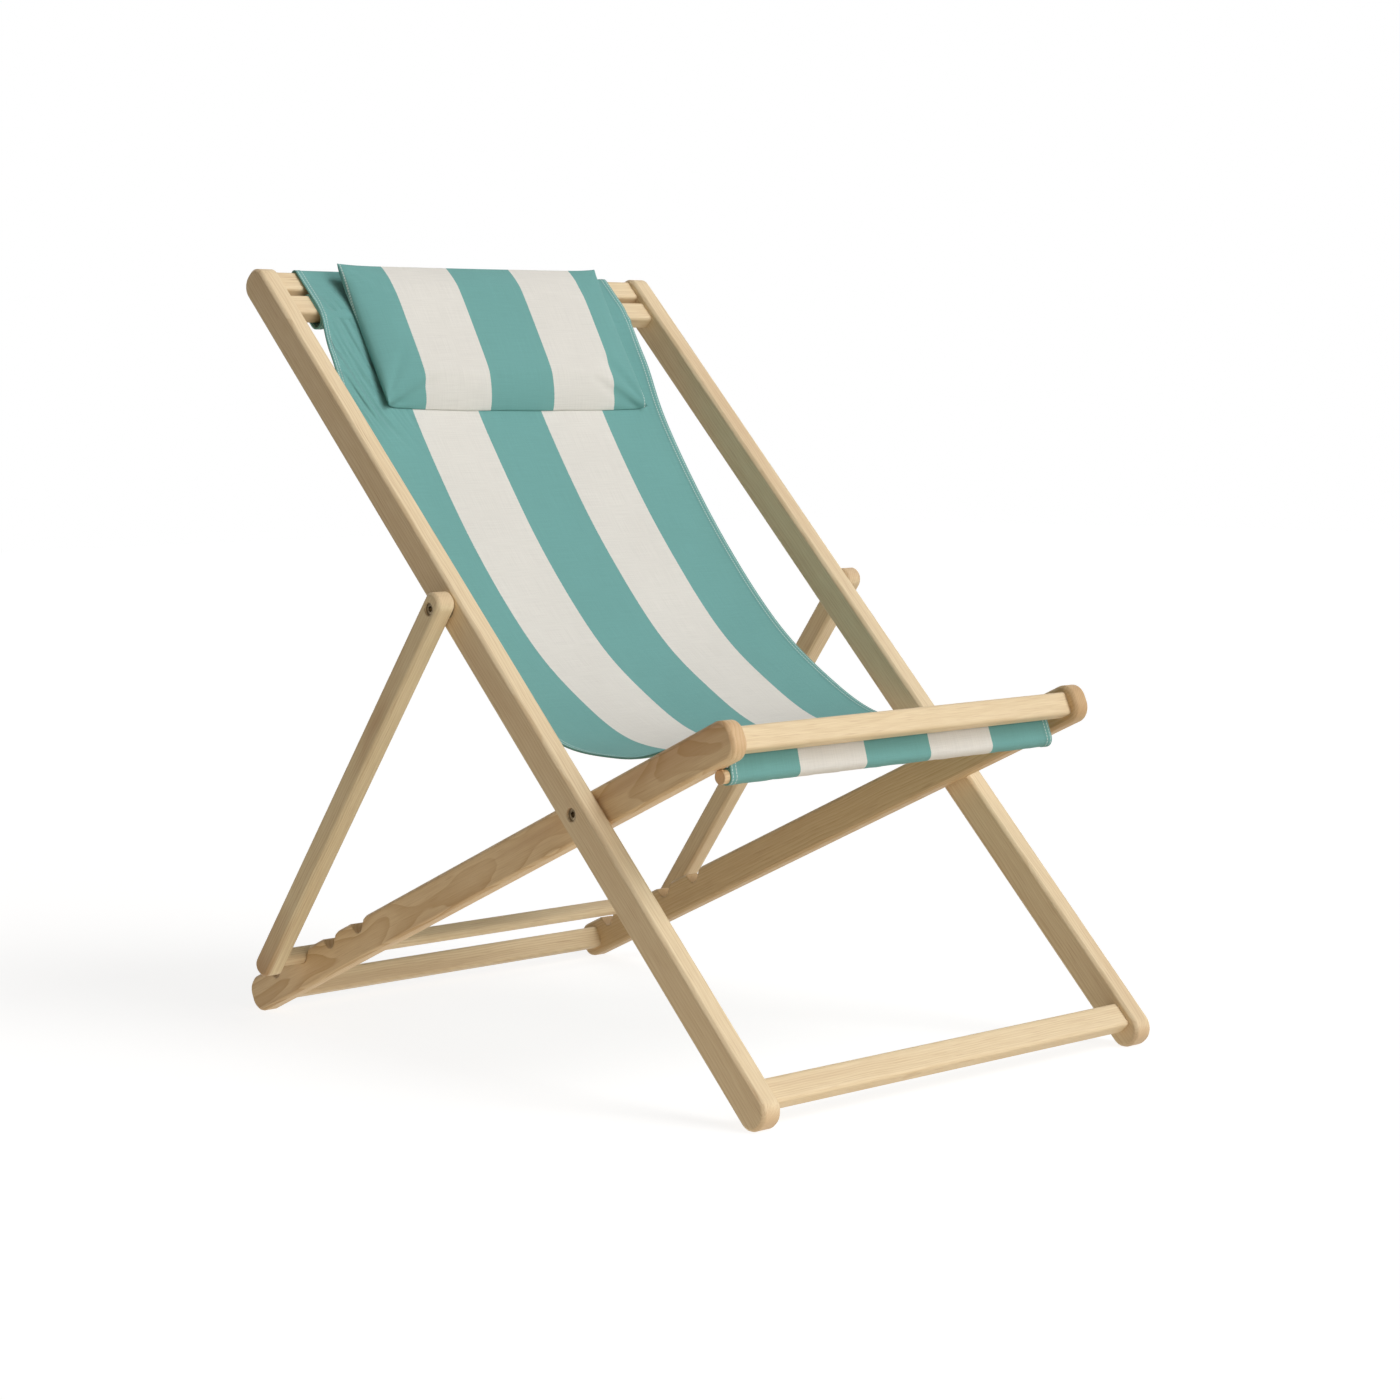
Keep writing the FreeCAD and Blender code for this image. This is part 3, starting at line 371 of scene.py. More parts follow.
def make_metal(name, color, roughness):
    """Dull fitting metal with stains that darken it and roughen it."""
    nodes = Nodes(name, color, roughness)
    stain = nodes.noise(nodes.add("ShaderNodeTexCoord").outputs["Object"], 260, 3.0)
    shade = nodes.mix(nodes.range(stain, 0.35, 0.7), color, tuple(c * 0.45 for c in color))
    nodes.shader.inputs["Metallic"].default_value = 1.0
    rough = nodes.vary(stain, roughness - 0.08, roughness + 0.15)
    return nodes.finish(shade, rough, nodes.bump(stain, 0.15, 0.2 * MM))


# Timber and fittings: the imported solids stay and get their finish

GRAIN = {}
for rail, direction in (("back_rail", BACK_UP), ("seat_rail", -SEAT_AHEAD), ("prop_strut", STRUT_DOWN)):
    for side in ("left", "right"):
        GRAIN[f"{rail}_{side}"] = direction
for bar in ("top_bar", "sleeve_bar", "foot_bar", "front_bar", "rear_bar", "prop_bar"):
    GRAIN[bar] = X
for rod in ("sling_dowel", "headrest_weight"):
    GRAIN[rod] = X
# Single pieces differ in tint, and in how strong their warm streaks are. The tint of the seat rail on the
# sitter's left is partly a redder tone and partly painted shade, darkening it as if it lay in the shade under
# the seat.
TINTS_AND_PAINTED_SHADE = {
    "front_bar": (0.99, 0.98, 0.96),
    "prop_strut_right": (1.0, 1.03, 1.02),
    "seat_rail_right": (1.0, 0.94, 0.87),
    # Painted shade: this rail is darkened for the shade under the seat, on top of a redder tone
    "seat_rail_left": (0.86, 0.78, 0.67),
    "sling_dowel": (0.98, 0.88, 0.8),
}
NO_TINT = (1.0, 1.0, 1.0)
STREAKED_OUTSIDE = ("prop_strut_right",)
STREAKS = {"prop_strut_right": 0.8, "seat_rail_right": 0.55, "front_bar": 0.1, "back_rail_right": 0.2}
USUAL_STREAK = 0.3
# Figure: direction and distance of the pith, how far it wanders, rings per metre, and how dark they are
STRAIGHT = (0.8, 0.07, 0.002, 400, 0.5)
FLAT_SAWN = (0.12, 0.032, 0.013, 230, 0.78)
BROAD_AND_FAINT = (0.5, 0.05, 0.010, 110, 0.26)
FIGURES = {"seat_rail_right": FLAT_SAWN, "front_bar": BROAD_AND_FAINT}
for seed, (node, along) in enumerate(GRAIN.items(), start=1):
    figure = FIGURES.get(node, STRAIGHT)
    wood = make_wood(node, along, seed, figure, TINTS_AND_PAINTED_SHADE.get(node, NO_TINT), STREAKS.get(node, USUAL_STREAK))
    frame["nodes"][node].data.materials.clear()
    frame["nodes"][node].data.materials.append(wood)

bolt_metal = make_metal("aged_bolt", (0.30, 0.235, 0.145), 0.42)
washer_metal = make_metal("washer", (0.42, 0.38, 0.31), 0.38)
for node, piece in frame["nodes"].items():
    if "_bolt_" in node or "_washer_" in node:
        piece.data.materials.clear()
        piece.data.materials.append(bolt_metal if "_bolt_" in node else washer_metal)


# Cloth: side-view paths in metres, and grids of points laid along them


def arc(centre, radius, start, end, step=20):
    """Side-view points on an arc, angles in degrees from +Y towards +Z."""
    count = max(2, math.ceil(abs(end - start) / step))
    angles = [math.radians(start + (end - start) * i / count) for i in range(count + 1)]
    return [(centre[0] + radius * math.cos(a), centre[1] + radius * math.sin(a)) for a in angles]


def rounded(points, radii, step=15):
    """A side-view polyline with its inner corners rounded."""
    path = [Vector(points[0])]
    for before, corner, after, radius in zip(points, points[1:], points[2:], radii):
        at = Vector(corner)
        back = (Vector(before) - at).normalized()
        ahead = (Vector(after) - at).normalized()
        half = back.angle(ahead) / 2
        centre = at + (back + ahead).normalized() * (radius / math.sin(half))
        start = at + back * (radius / math.tan(half)) - centre
        end = at + ahead * (radius / math.tan(half)) - centre
        turn = -start.angle_signed(end)
        count = max(2, math.ceil(math.degrees(abs(turn)) / step))
        path += [centre + Matrix.Rotation(turn * i / count, 2) @ start for i in range(count + 1)]
    path.append(Vector(points[-1]))
    return [tuple(p) for p in path]


def spline(points, spacing):
    """A natural cubic spline through side-view points, at about even spacing."""
    p = np.array(points, float)
    t = np.concatenate([[0], np.cumsum(np.linalg.norm(np.diff(p, axis=0), axis=1))])
    n = len(p)
    h = np.diff(t)
    system = np.eye(n)
    right = np.zeros((n, 2))
    for i in range(1, n - 1):
        system[i, i - 1 : i + 2] = (h[i - 1], 2 * (h[i - 1] + h[i]), h[i])
        right[i] = 6 * ((p[i + 1] - p[i]) / h[i] - (p[i] - p[i - 1]) / h[i - 1])
    bend = np.linalg.solve(system, right)
    out = []
    for x in np.linspace(0, t[-1], max(2, round(t[-1] / spacing)) + 1):
        i = min(max(int(np.searchsorted(t, x)) - 1, 0), n - 2)
        a, b = (t[i + 1] - x) / h[i], (x - t[i]) / h[i]
        curve = ((a**3 - a) * bend[i] + (b**3 - b) * bend[i + 1]) * h[i] ** 2 / 6
        out.append(tuple(a * p[i] + b * p[i + 1] + curve))
    return out


def merged(path, least=0.4 * MM):
    """Leaves out points that lie on the one before."""
    kept = [path[0]]
    for point in path[1:]:
        if math.dist(point, kept[-1]) > least:
            kept.append(point)
    return kept


def lengths(path):
    """Length along a side-view path at each of its points."""
    return np.concatenate([[0.0], np.cumsum(np.linalg.norm(np.diff(np.array(path), axis=0), axis=1))])


def new_piece(name, vertices, faces, flat, material):
    """A smooth mesh object whose UV map holds each vertex's place on the flat cloth."""
    mesh = bpy.data.meshes.new(name)
    mesh.from_pydata(vertices.tolist(), [], faces)
    corners = np.zeros(len(mesh.loops), int)
    mesh.loops.foreach_get("vertex_index", corners)
    mesh.uv_layers.new(name="cloth").data.foreach_set("uv", flat[corners].ravel())
    mesh.shade_smooth()
    mesh.materials.append(material)
    piece = bpy.data.objects.new(name, mesh)
    bpy.context.scene.collection.objects.link(piece)
    return piece


def two_sided(index):
    """Faces over a front grid of vertices and, turned the other way, over a back grid."""
    _, rows, columns = index.shape
    faces = []
    for i in range(rows - 1):
        for j in range(columns - 1):
            quad = [(i, j), (i, j + 1), (i + 1, j + 1), (i + 1, j)]
            faces.append([int(index[0][corner]) for corner in quad])
            faces.append([int(index[1][corner]) for corner in reversed(quad)])
    return faces


def cloth_shell(name, points, thickness, flat, material):
    """A closed shell of cloth round a grid of points: rows along the cloth, columns across it."""
    rows, columns, _ = points.shape
    normal = np.cross(np.gradient(points, axis=1), np.gradient(points, axis=0))
    normal /= np.linalg.norm(normal, axis=2, keepdims=True)
    half = normal * thickness[..., None] / 2
    vertices = np.concatenate([(points + half).reshape(-1, 3), (points - half).reshape(-1, 3)])
    index = np.arange(2 * rows * columns).reshape(2, rows, columns)
    faces = two_sided(index)
    rim = [(i, 0) for i in range(rows)] + [(rows - 1, j) for j in range(1, columns)]
    rim += [(i, columns - 1) for i in range(rows - 2, -1, -1)] + [(0, j) for j in range(columns - 2, 0, -1)]
    for a, b in zip(rim, rim[1:] + rim[:1]):
        faces.append([int(index[0][a]), int(index[0][b]), int(index[1][b]), int(index[1][a])])
    return new_piece(name, vertices, faces, np.concatenate([flat.reshape(-1, 2)] * 2), material)


def waves(u, v, seed, counts):
    """Smooth undulation over the cloth, about -1 to 1, with given wave counts across and along."""
    generator = np.random.default_rng(seed)
    total = np.zeros_like(u)
    for across, along in counts:
        phase = generator.uniform(0, 2 * math.pi)
        total += np.sin(2 * math.pi * (across * u + along * v) + phase)
    return total / len(counts)


def lay_out(path, across, width_at=None, middle_at=None):
    """Points over a side-view path, with the flat cloth's coordinates: rows along, columns across."""
    v, u = np.meshgrid(lengths(path), across, indexing="ij")
    side = np.array(path)
    points = np.zeros((*u.shape, 3))
    points[..., 0] = u * (1 if width_at is None else width_at[:, None])
    if middle_at is not None:
        points[..., 0] += middle_at[:, None]
    points[..., 1:] = side[:, None, :]
    run = np.gradient(side, axis=0)
    run /= np.linalg.norm(run, axis=1, keepdims=True)
    outward = np.stack([np.zeros(len(side)), -run[:, 1], run[:, 0]], 1)
    return u, v, points, outward[:, None, :]


# The sling. Sizes along the frames are in millimetres until they become points.

CLOTH = 1.1
CLEAR = 0.35
GAP = CLEAR + CLOTH / 2
BAR_ROUND = 4
bar_back, _, bar_front = reach("top_bar", BACK_FRONT)
top_bar_high = reach("top_bar", BACK_UP)[2]
sleeve_low, sleeve_bar, sleeve_high = reach("sleeve_bar", BACK_UP)
front_bar_back = reach("front_bar", SEAT_AHEAD)[0]
DOWEL = (reach("sling_dowel", SEAT_AHEAD)[1], reach("sling_dowel", SEAT_UP)[1])
dowel_low, dowel_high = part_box("sling_dowel")
HEM_RADIUS = (dowel_high.z - dowel_low.z) / 2 / MM + GAP
sling_low, sling_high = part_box("sling")
SLING_WIDTH = (sling_high.x - sling_low.x) / MM
# The sleeve hangs loose below the second bar, and its seam is behind the bar. The canvas comes down over it.
SLEEVE_SLACK, SLEEVE_SEAM_UP, LAST_BEND_UP = 11, 4, 6
OUTER_LAYER = 1.6 * CLOTH
# The hang of the canvas from the second bar, measured on the photograph: up the back frame and in front of it
HANG = [(690, 10.5), (660, 1), (630, -9), (591, -20), (537, -32), (481, -42), (424, -50), (365, -55)]
HANG += [(304, -57), (239, -53), (164, -36), (89, -7), (33, 41), (2, 78)]
# Then ahead along the seat frame and above it, and down behind the front bar to the rod in the hem
OVER_SEAT = [(100, 25), (150, 17.5)]
DROP_UP, DROP_BEHIND_BAR, DROP_BEND = 11.5, 0.4, 9
HEM_TURN = 352


def sling_path():
    """Side view of the canvas from the seam of its sleeve to the seam of its hem."""
    back = bar_back - GAP
    front = bar_front + GAP
    low, high = sleeve_low - GAP - SLEEVE_SLACK, sleeve_high + GAP
    over = top_bar_high + GAP
    corner = BAR_ROUND + GAP
    in_front = front + OUTER_LAYER
    turns = [(sleeve_bar + SLEEVE_SEAM_UP, back + CLOTH), (high, back + CLOTH), (high, front), (low, front)]
    turns += [(low, back), (over, back), (over, in_front), (sleeve_bar + LAST_BEND_UP, in_front)]
    radii = [corner, corner, 2 * corner, 2 * corner, corner, corner]
    head = rounded([on_back(*p) for p in turns], [radius * MM for radius in radii])
    waypoints = [on_back(sleeve_bar, in_front)]
    waypoints += [on_back(*p) for p in HANG]
    waypoints += [on_seat(*p) for p in OVER_SEAT]
    hanging = spline(waypoints, 8 * MM)
    front_top = on_seat(front_bar_back - GAP - DROP_BEHIND_BAR, DROP_UP)
    tube = on_seat(DOWEL[0] + HEM_RADIUS, DOWEL[1])
    drop = rounded([hanging[-1], front_top, tube], [DROP_BEND * MM])
    lean = heading(SEAT_AHEAD)
    hem = arc(on_seat(*DOWEL), HEM_RADIUS * MM, lean, lean + HEM_TURN)
    return merged(head + hanging + drop[1:] + hem), len(head), len(hem)


def rise(along, start, length):
    """0 up to a place along the cloth, 1 from a length after it, and smooth between them."""
    share = np.clip((along - start) / length, 0, 1)
    return share * share * (3 - 2 * share)


# The side edges are folded over. Columns of points from the rim inwards: all but the last are on the fold.
FOLD = (0, 0.8, 7.4, 8)
FOLDED_THICKER = 1.8
INNER_FROM, INNER_COLUMNS = 12, 56
# Shifts towards the sitter's left: of the whole top, in the hem, and where the canvas lies on the bars
TOP_SHIFT, HEM_SHIFT, BAR_SHIFT = -12.2, 0.4, 6.5
HEM_WIDER, NARROWER_AT_BARS = 0.0125, 0.011
# How far it strays from its path: lifted edges, a curled rim, ripples, tucks and puckers
EDGE_LIFT, CURL, RIPPLE, TUCK, PUCKER = 7, 1.6, 0.8, 1.6, 0.35
# Wave counts per metre, across and along
RIPPLE_WAVES = [(3.1, 1.3), (5.3, -2.1), (8.2, 3.7), (2.2, 5.1), (11.0, 2.0)]
TUCK_WAVES = [(21, 0.8), (33, -1.2), (47, 1.6)]
PUCKER_WAVES = [(19, 4), (31, -6), (52, 3)]
SEAM_INSETS = (2.2, 7.0)


def make_sling():
    path, head_rows, hem_rows = sling_path()
    along = lengths(path)
    total = along[-1]
    hem_start = along[-hem_rows]
    leave = along[head_rows]
    half = SLING_WIDTH / 2 * MM
    across = [-half + place * MM for place in FOLD]
    across += list(np.linspace(-half + INNER_FROM * MM, half - INNER_FROM * MM, INNER_COLUMNS))
    across += [half - place * MM for place in reversed(FOLD)]
    # The canvas sits to the sitter's right at the top, and between the rails at the front
    centre = (sling_low.x + sling_high.x) / 2
    toward_front = rise(along, 0, 0.9)
    in_hem = rise(along, hem_start - 0.03, 0.03)
    at_bars = 1 - rise(along, leave, 0.06)
    middle_at = TOP_SHIFT * MM * (1 - toward_front) + centre * toward_front
    middle_at += HEM_SHIFT * MM * in_hem
    middle_at += BAR_SHIFT * MM * at_bars
    width_at = 1 + HEM_WIDER * in_hem - NARROWER_AT_BARS * at_bars
    u, v, points, outward = lay_out(path, np.array(across), width_at, middle_at)
    free = rise(v, leave + 0.01, 0.12) * (1 - rise(v, total - 0.22, 0.10))
    rim = np.abs(u) / half
    # The side edges stand forward where the canvas leaves the bars, and are less taut than the middle
    edge_lift = EDGE_LIFT * MM * np.exp(-(((v - leave - 0.07) / 0.045) ** 2)) * rim**5
    curl = CURL * MM * free * rim**6
    ripple = waves(u, v, 4, RIPPLE_WAVES) * RIPPLE * MM * free
    near_top = np.exp(-(((v - leave - 0.03) / 0.09) ** 2)) * rise(v, leave - 0.02, 0.03)
    tucks = waves(u, v, 9, TUCK_WAVES) * TUCK * MM * near_top * (0.15 + rim**3)
    puckers = waves(u, v, 12, PUCKER_WAVES) * PUCKER * MM * in_hem[:, None]
    points -= outward * (edge_lift + curl + ripple + tucks + puckers)[..., None]
    thickness = np.full(u.shape, CLOTH * MM)
    folded = len(FOLD) - 1
    thickness[:, :folded] *= FOLDED_THICKER
    thickness[:, -folded:] *= FOLDED_THICKER
    stripes = [STRIPE * (i - 1.5) for i in range(4)]
    lines = [("u", side * (half - inset * MM)) for side in (-1, 1) for inset in SEAM_INSETS]
    canvas = make_canvas("striped_canvas", stripes, lines, (leave - 0.05, leave + 0.2, half))
    piece = cloth_shell("canvas_sling", points, thickness, np.stack([u, v], 2), canvas)
    return piece, total


sling, sling_length = make_sling()

# The headrest pillow: two layers of canvas sewn together round the edge, then blown up as cloth

PILLOW_WIDTH, PILLOW_HEIGHT = 380, 184
PILLOW_CENTRE = (662, 12.7)
PILLOW_TILT = 14.8
PILLOW_STRIPES = [-132 * MM + i * STRIPE for i in range(4)]
# The filling stands out in front of the seams' plane and behind it. The seams lie back from that plane.
FILLING_FRONT, FILLING_BACK = 7, 11
BOTTOM_SEAM_BACK, END_SEAM_BACK = 13, 4
# In that plane, the seams are drawn in between the corners, and the lower corners are drawn up: right, left
BOTTOM_SEAM_UP, TOP_SEAM_DOWN, END_SEAM_IN = 0.5, 2.5, 2.0
CORNER_UP = (5.5, 2.0)
# It hangs slightly askew
LEAN, TWIST, STRETCH = 1.9, 1.4, 0.75
COLUMNS, ROWS = 78, 42
FINER_AT_SEAMS = 1.35
PRESSURE = 4
FRAMES = 20
MOST_MOVE = 3.5 * MM
SEAM_HELD, BACK_HELD = 0.35, 0.6
CLEAR_OF_SLING = 0.5 * MM

tilt = math.radians(PILLOW_TILT)
PILLOW_UP = BACK_UP * math.cos(tilt) + BACK_FRONT * math.sin(tilt)
PILLOW_FRONT = BACK_FRONT * math.cos(tilt) - BACK_UP * math.sin(tilt)


def blow_up(piece, held):
    """Runs the cloth with air inside it, and keeps each vertex within a cap of where it was."""
    scene = bpy.context.scene
    count = len(piece.data.vertices)
    before = np.zeros(count * 3)
    piece.data.vertices.foreach_get("co", before)
    group = piece.vertex_groups.new(name="held")
    for index, weight in held.items():
        group.add([index], weight, "REPLACE")
    cloth = piece.modifiers.new("air", "CLOTH")
    settings = cloth.settings
    settings.quality = 6
    settings.mass = 0.2
    settings.tension_stiffness = 25
    settings.compression_stiffness = 25
    settings.shear_stiffness = 8
    settings.bending_stiffness = 1.5
    settings.use_pressure = True
    settings.uniform_pressure_force = PRESSURE
    settings.effector_weights.gravity = 0
    settings.vertex_group_mass = group.name
    cloth.point_cache.frame_start = 1
    cloth.point_cache.frame_end = FRAMES
    for step in range(1, FRAMES + 1):
        scene.frame_set(step)
    after = np.zeros(count * 3)
    blown = piece.evaluated_get(bpy.context.evaluated_depsgraph_get())
    blown.data.vertices.foreach_get("co", after)
    piece.modifiers.remove(cloth)
    piece.vertex_groups.remove(group)
    scene.frame_set(1)
    before, after = before.reshape(-1, 3), after.reshape(-1, 3)
    move = after - before
    far = np.linalg.norm(move, axis=1, keepdims=True)
    move *= np.minimum(1, MOST_MOVE / np.maximum(far, 1e-9))
    piece.data.vertices.foreach_set("co", (before + move).ravel())
    piece.data.update()


def clear_of_sling(piece):
    """Moves the pillow's vertices forward where they would reach into the canvas."""
    cloth = BVHTree.FromObject(sling, bpy.context.evaluated_depsgraph_get())
    ahead, behind = 100 * MM, 12 * MM
    for vertex in piece.data.vertices:
        start = vertex.co + BACK_FRONT * ahead
        hit, _, _, distance = cloth.ray_cast(start, -BACK_FRONT, ahead + behind)
        if hit is not None and distance < ahead + CLEAR_OF_SLING:
            vertex.co = hit + BACK_FRONT * CLEAR_OF_SLING
    piece.data.update()


def fullness(place, power, root):
    """How far a stuffed cover stands out between its seams (-1 and 1): 1 half way, 0 at the seams."""
    return (1 - np.abs(place) ** power) ** root


def pillow_layers(ss, tt):
    """Places of the front and back layers, from shares of the half width (ss) and half height (tt)."""
    to_ends = fullness(ss, 22, 0.5)
    end_back = -END_SEAM_BACK * (1 - to_ends) * (1 - tt**4)
    # The filling has settled over the bottom seam, which lies back against the canvas between the corners
    low_part = fullness(tt, 5, 0.6)
    front_low = -BOTTOM_SEAM_BACK + (FILLING_FRONT + BOTTOM_SEAM_BACK) * low_part
    front = np.where(tt < 0, front_low, FILLING_FRONT * fullness(tt, 4, 0.8)) * to_ends + end_back
    rear_low = -BOTTOM_SEAM_BACK + (BOTTOM_SEAM_BACK - FILLING_BACK) * low_part
    rear = np.where(tt < 0, rear_low, -FILLING_BACK * fullness(tt, 8, 0.5)) * to_ends + end_back
    x = ss * PILLOW_WIDTH / 2 - END_SEAM_IN * (1 - tt**2) * np.sign(ss) * np.abs(ss) ** 8
    x -= LEAN * tt
    inward = np.where(tt < 0, BOTTOM_SEAM_UP, -TOP_SEAM_DOWN) * (1 - np.abs(ss) ** 10) * np.abs(tt)
    y = tt * PILLOW_HEIGHT / 2 + inward + TWIST * ss * tt + STRETCH * (1 + tt)
    y += np.where(ss < 0, *CORNER_UP) * np.abs(ss) ** 4 * np.clip(-tt, 0, 1) ** 3
    return x, y, front, rear


def make_pillow():
    """A stuffed cover: pointed corners, a flat front that rolls over low down, and a thin back."""
    # The grid is finer near the seams, where the cover turns sharply
    bend = FINER_AT_SEAMS
    s, t = (np.sin(np.linspace(-bend, bend, count)) / math.sin(bend) for count in (COLUMNS, ROWS))
    tt, ss = np.meshgrid(t, s, indexing="ij")
    x, y, front, rear = pillow_layers(ss, tt)
    # The two layers share the vertices of the seam round the edge
    index = np.arange(2 * ROWS * COLUMNS).reshape(2, ROWS, COLUMNS)
    edge = np.maximum(np.abs(ss), np.abs(tt)) == 1
    index[1][edge] = index[0][edge]
    used, index = np.unique(index, return_inverse=True)
    index = index.reshape(2, ROWS, COLUMNS)
    centre = MAIN_PIVOT + (BACK_UP * PILLOW_CENTRE[0] + BACK_FRONT * PILLOW_CENTRE[1]) * MM
    layers = []
    for z in (front, rear):
        place = np.array(centre) + np.array(X) * (x * MM)[..., None]
        place = place + np.array(PILLOW_UP) * (y * MM)[..., None]
        place = place + np.array(PILLOW_FRONT) * (z * MM)[..., None]
        layers.append(place.reshape(-1, 3))
    vertices = np.concatenate(layers)[used]
    flat = np.concatenate([np.stack([x, y], 2).reshape(-1, 2) * MM] * 2)[used]
    side_seam = (PILLOW_WIDTH / 2 - 1.2) * MM
    cover = make_canvas("pillow_canvas", PILLOW_STRIPES, [("u", -side_seam), ("u", side_seam)])
    piece = new_piece("pillow_cover", vertices, two_sided(index), flat, cover)
    held = {int(i): SEAM_HELD for i in index[0][edge]}
    held.update({int(index[0][i, j]): 1.0 for i in (0, -1) for j in (0, -1)})
    held.update({int(i): BACK_HELD for i in index[1][~edge]})
    blow_up(piece, held)
    clear_of_sling(piece)
    piece.modifiers.new("subdivision", "SUBSURF").levels = 1
    piece.modifiers["subdivision"].render_levels = 1
    top_seam = piece.data.vertices[int(index[0][-1, COLUMNS // 2])].co.copy()
    return piece, top_seam


pillow, top_seam = make_pillow()


# The flap that holds the pillow: sewn to its top seam, over the top bar, a rod in its hem behind the bars

FLAP_BELOW_SEAM, FLAP_BEHIND_SEAM = 2.5, 2
FLAP_BEND = 8
FLAP_HEM_TURN = 350
FLAP_STITCH_UP = 30 * MM


def make_flap():
    back = bar_back - 2 * GAP - CLOTH
    over = top_bar_high + 2 * GAP + CLOTH
    rod_back, rod_middle, rod_front = reach("headrest_weight", BACK_FRONT)
    low = reach("headrest_weight", BACK_UP)[1]
    loop = (rod_front - rod_back) / 2 + GAP
    seam = top_seam - MAIN_PIVOT
    start = (seam.dot(BACK_UP) / MM - FLAP_BELOW_SEAM, seam.dot(BACK_FRONT) / MM - FLAP_BEHIND_SEAM)
    turns = [start, (over, bar_front + 3 * GAP), (over, back), (low, back)]
    path = rounded([on_back(*p) for p in turns], [FLAP_BEND * MM, (BAR_ROUND + 2 * GAP + CLOTH) * MM])
    lean = heading(BACK_FRONT)
    hem = arc(on_back(low, rod_middle), loop * MM, lean, lean + FLAP_HEM_TURN)
    path = merged(path[:-1] + hem)
    flap_low, flap_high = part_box("headrest_flap")
    across = np.linspace(flap_low.x, flap_high.x, 40)
    u, v, points, _ = lay_out(path, across)
    length = lengths(path)[-1]
    canvas = make_canvas("flap_canvas", PILLOW_STRIPES, [("v", length - FLAP_STITCH_UP)])
    piece = cloth_shell("pillow_flap", points, np.full(u.shape, CLOTH * MM), np.stack([u, v], 2), canvas)
    return piece, flap_high.x - flap_low.x, length


flap, flap_width, flap_length = make_flap()

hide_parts("headrest_pillow")
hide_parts("headrest_flap")
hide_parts("sling")
for piece in (pillow, flap):
    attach(piece, "back_frame")
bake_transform(sling)

# Floor, light and camera

# The surround is white to the camera and in reflections, and otherwise a dim warm glow

AMBIENT = (1.0, 0.88, 0.75, 1)
AMBIENT_LEVEL = 0.19
FLOOR_BOUNCE = (1.0, 0.89, 0.73, 1)
# Light thrown back by the floor: most from a lit part beside the chair's front, and less farther away
LIT_FLOOR = (-0.5, -0.4)
LIT_WITHIN, DIM_BEYOND = 0.2, 1.7
LIT_LEVEL, DIM_LEVEL = 0.70, 0.34
# What the camera sees of the floor: its own glow, and a matt part that takes the shadow
FLOOR_GLOW = 0.84
FLOOR_SHADE = 0.30
FLOOR_HALF = 12
LAMP_AWAY = 4

world = bpy.data.worlds.new("studio")
bpy.context.scene.world = world
world.use_nodes = True


def seen_directly(tree):
    """1 for the rays that show the white background, and 0 for those that light the object."""
    path = tree.nodes.new("ShaderNodeLightPath")
    value = path.outputs["Is Camera Ray"]
    for kind in ("Is Glossy Ray", "Is Transmission Ray"):
        either = tree.nodes.new("ShaderNodeMath")
        either.operation = "MAXIMUM"
        tree.links.new(value, either.inputs[0])
        tree.links.new(path.outputs[kind], either.inputs[1])
        value = either.outputs[0]
    return value


def choose(tree, factor, otherwise, seen, output):
    """Sends one shader to the output where a factor is 1, and another elsewhere."""
    mixed = tree.nodes.new("ShaderNodeMixShader")
    tree.links.new(factor, mixed.inputs[0])
    tree.links.new(otherwise, mixed.inputs[1])
    tree.links.new(seen, mixed.inputs[2])
    tree.links.new(mixed.outputs[0], output.inputs["Surface"])


ambient = world.node_tree.nodes["Background"]
ambient.inputs["Color"].default_value = AMBIENT
ambient.inputs["Strength"].default_value = AMBIENT_LEVEL
white = world.node_tree.nodes.new("ShaderNodeBackground")
white.inputs["Color"].default_value = (1, 1, 1, 1)
choose(
    world.node_tree,
    seen_directly(world.node_tree),
    ambient.outputs[0],
    white.outputs[0],
    world.node_tree.nodes["World Output"],
)


def sun(name, from_right, elevation, softness, level):
    """A distant lamp: degrees to the right of the chair's front, degrees up, degrees wide, and its level."""
    data = bpy.data.lights.new(name, "SUN")
    data.angle = math.radians(softness)
    data.energy = level * math.pi
    lamp = bpy.data.objects.new(name, data)
    turn, lift = math.radians(from_right), math.radians(elevation)
    towards = Vector((math.sin(turn) * math.cos(lift), -math.cos(turn) * math.cos(lift), math.sin(lift)))
    lamp.rotation_mode = "QUATERNION"
    lamp.rotation_quaternion = towards.to_track_quat("Z", "Y")
    lamp.location = towards * LAMP_AWAY
    bpy.context.scene.collection.objects.link(lamp)


sun("high_light", from_right=24, elevation=50, softness=30, level=0.41)
sun("low_light", from_right=14, elevation=9, softness=55, level=0.50)

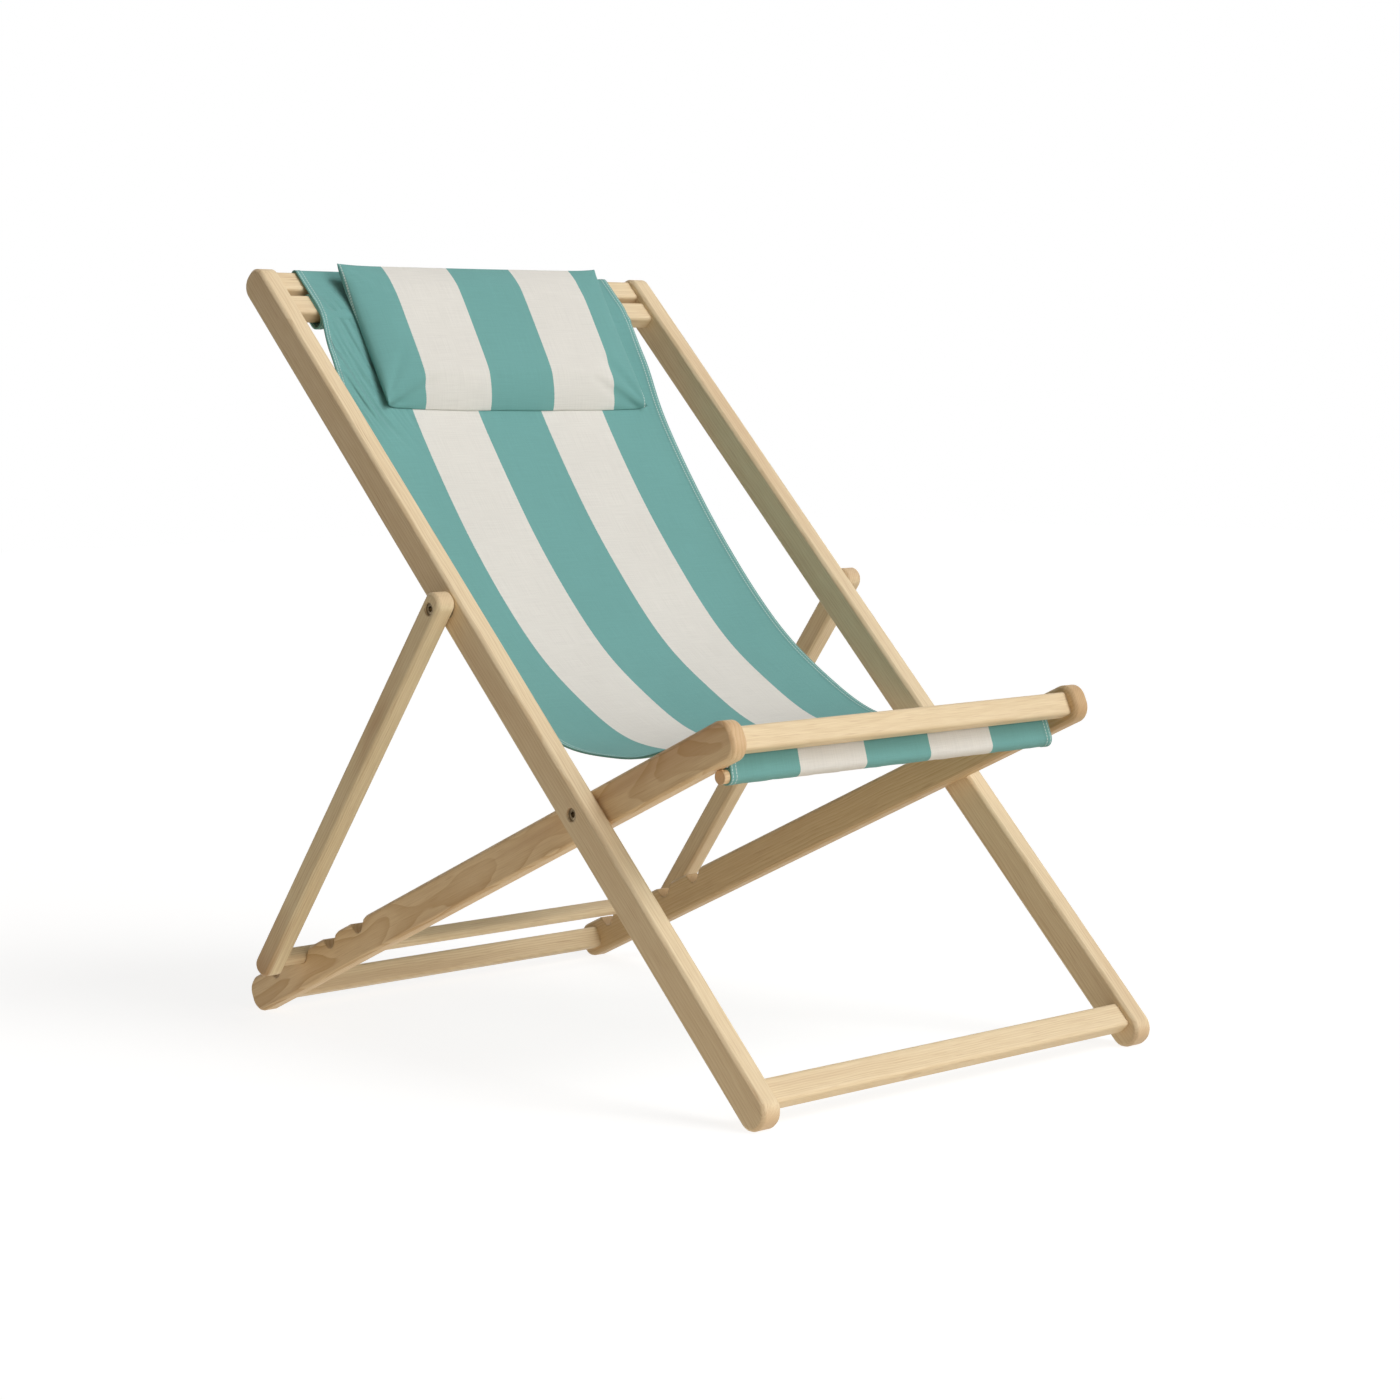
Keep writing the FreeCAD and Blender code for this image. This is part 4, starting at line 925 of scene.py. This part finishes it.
floor_mesh = bpy.data.meshes.new("floor")
floor_corners = [(x * FLOOR_HALF, y * FLOOR_HALF, 0) for x, y in ((-1, -1), (1, -1), (1, 1), (-1, 1))]
floor_mesh.from_pydata(floor_corners, [], [(0, 1, 2, 3)])
floor = bpy.data.objects.new("floor", floor_mesh)
bpy.context.scene.collection.objects.link(floor)
floor_nodes = Nodes("floor", FLOOR_BOUNCE[:3], 0.9)
floor_tree = floor_nodes.tree
floor_tree.nodes.remove(floor_nodes.shader)
glow = floor_nodes.add("ShaderNodeEmission")
glow.inputs["Strength"].default_value = FLOOR_GLOW
place = floor_nodes.add("ShaderNodeNewGeometry").outputs["Position"]
away = floor_nodes.vector("LENGTH", floor_nodes.vector("SUBTRACT", place, (*LIT_FLOOR, 0.0)))
bounce = floor_nodes.add("ShaderNodeEmission")
bounce.inputs["Color"].default_value = FLOOR_BOUNCE
floor_nodes.put(
    bounce.inputs["Strength"],
    floor_nodes.range(away, LIT_WITHIN, DIM_BEYOND, LIT_LEVEL, DIM_LEVEL, smooth=True),
)
matt = floor_nodes.add("ShaderNodeBsdfDiffuse")
matt.inputs["Color"].default_value = (FLOOR_SHADE, FLOOR_SHADE, FLOOR_SHADE, 1)
both = floor_nodes.add("ShaderNodeAddShader")
floor_tree.links.new(glow.outputs[0], both.inputs[0])
floor_tree.links.new(matt.outputs[0], both.inputs[1])
choose(
    floor_tree,
    seen_directly(floor_tree),
    bounce.outputs[0],
    both.outputs[0],
    floor_tree.nodes["Material Output"],
)
floor_mesh.materials.append(floor_nodes.material)

# The camera stands where the chair's edges in the photograph put it
AHEAD = Vector((0.67665, 0.73065, -0.09108))
UP = Vector((0.07033, 0.05900, 0.99578))
RIGHT = AHEAD.cross(UP).normalized()
LENS, SENSOR = 79.1, 36
camera_data = bpy.data.cameras.new("camera")
camera_data.sensor_width = SENSOR
camera_data.lens = LENS
camera = bpy.data.objects.new("camera", camera_data)
bpy.context.scene.collection.objects.link(camera)
TO_LEFT, ABOVE, AWAY = 0.08156, 0.09337, 3.22963
camera_at = MAIN_PIVOT - RIGHT * TO_LEFT + UP * ABOVE - AHEAD * AWAY
turn = Matrix((RIGHT, RIGHT.cross(AHEAD), -AHEAD)).transposed()
camera.matrix_world = Matrix.Translation(camera_at) @ turn.to_4x4()
bpy.context.scene.camera = camera
bpy.context.scene.view_settings.view_transform = "Standard"
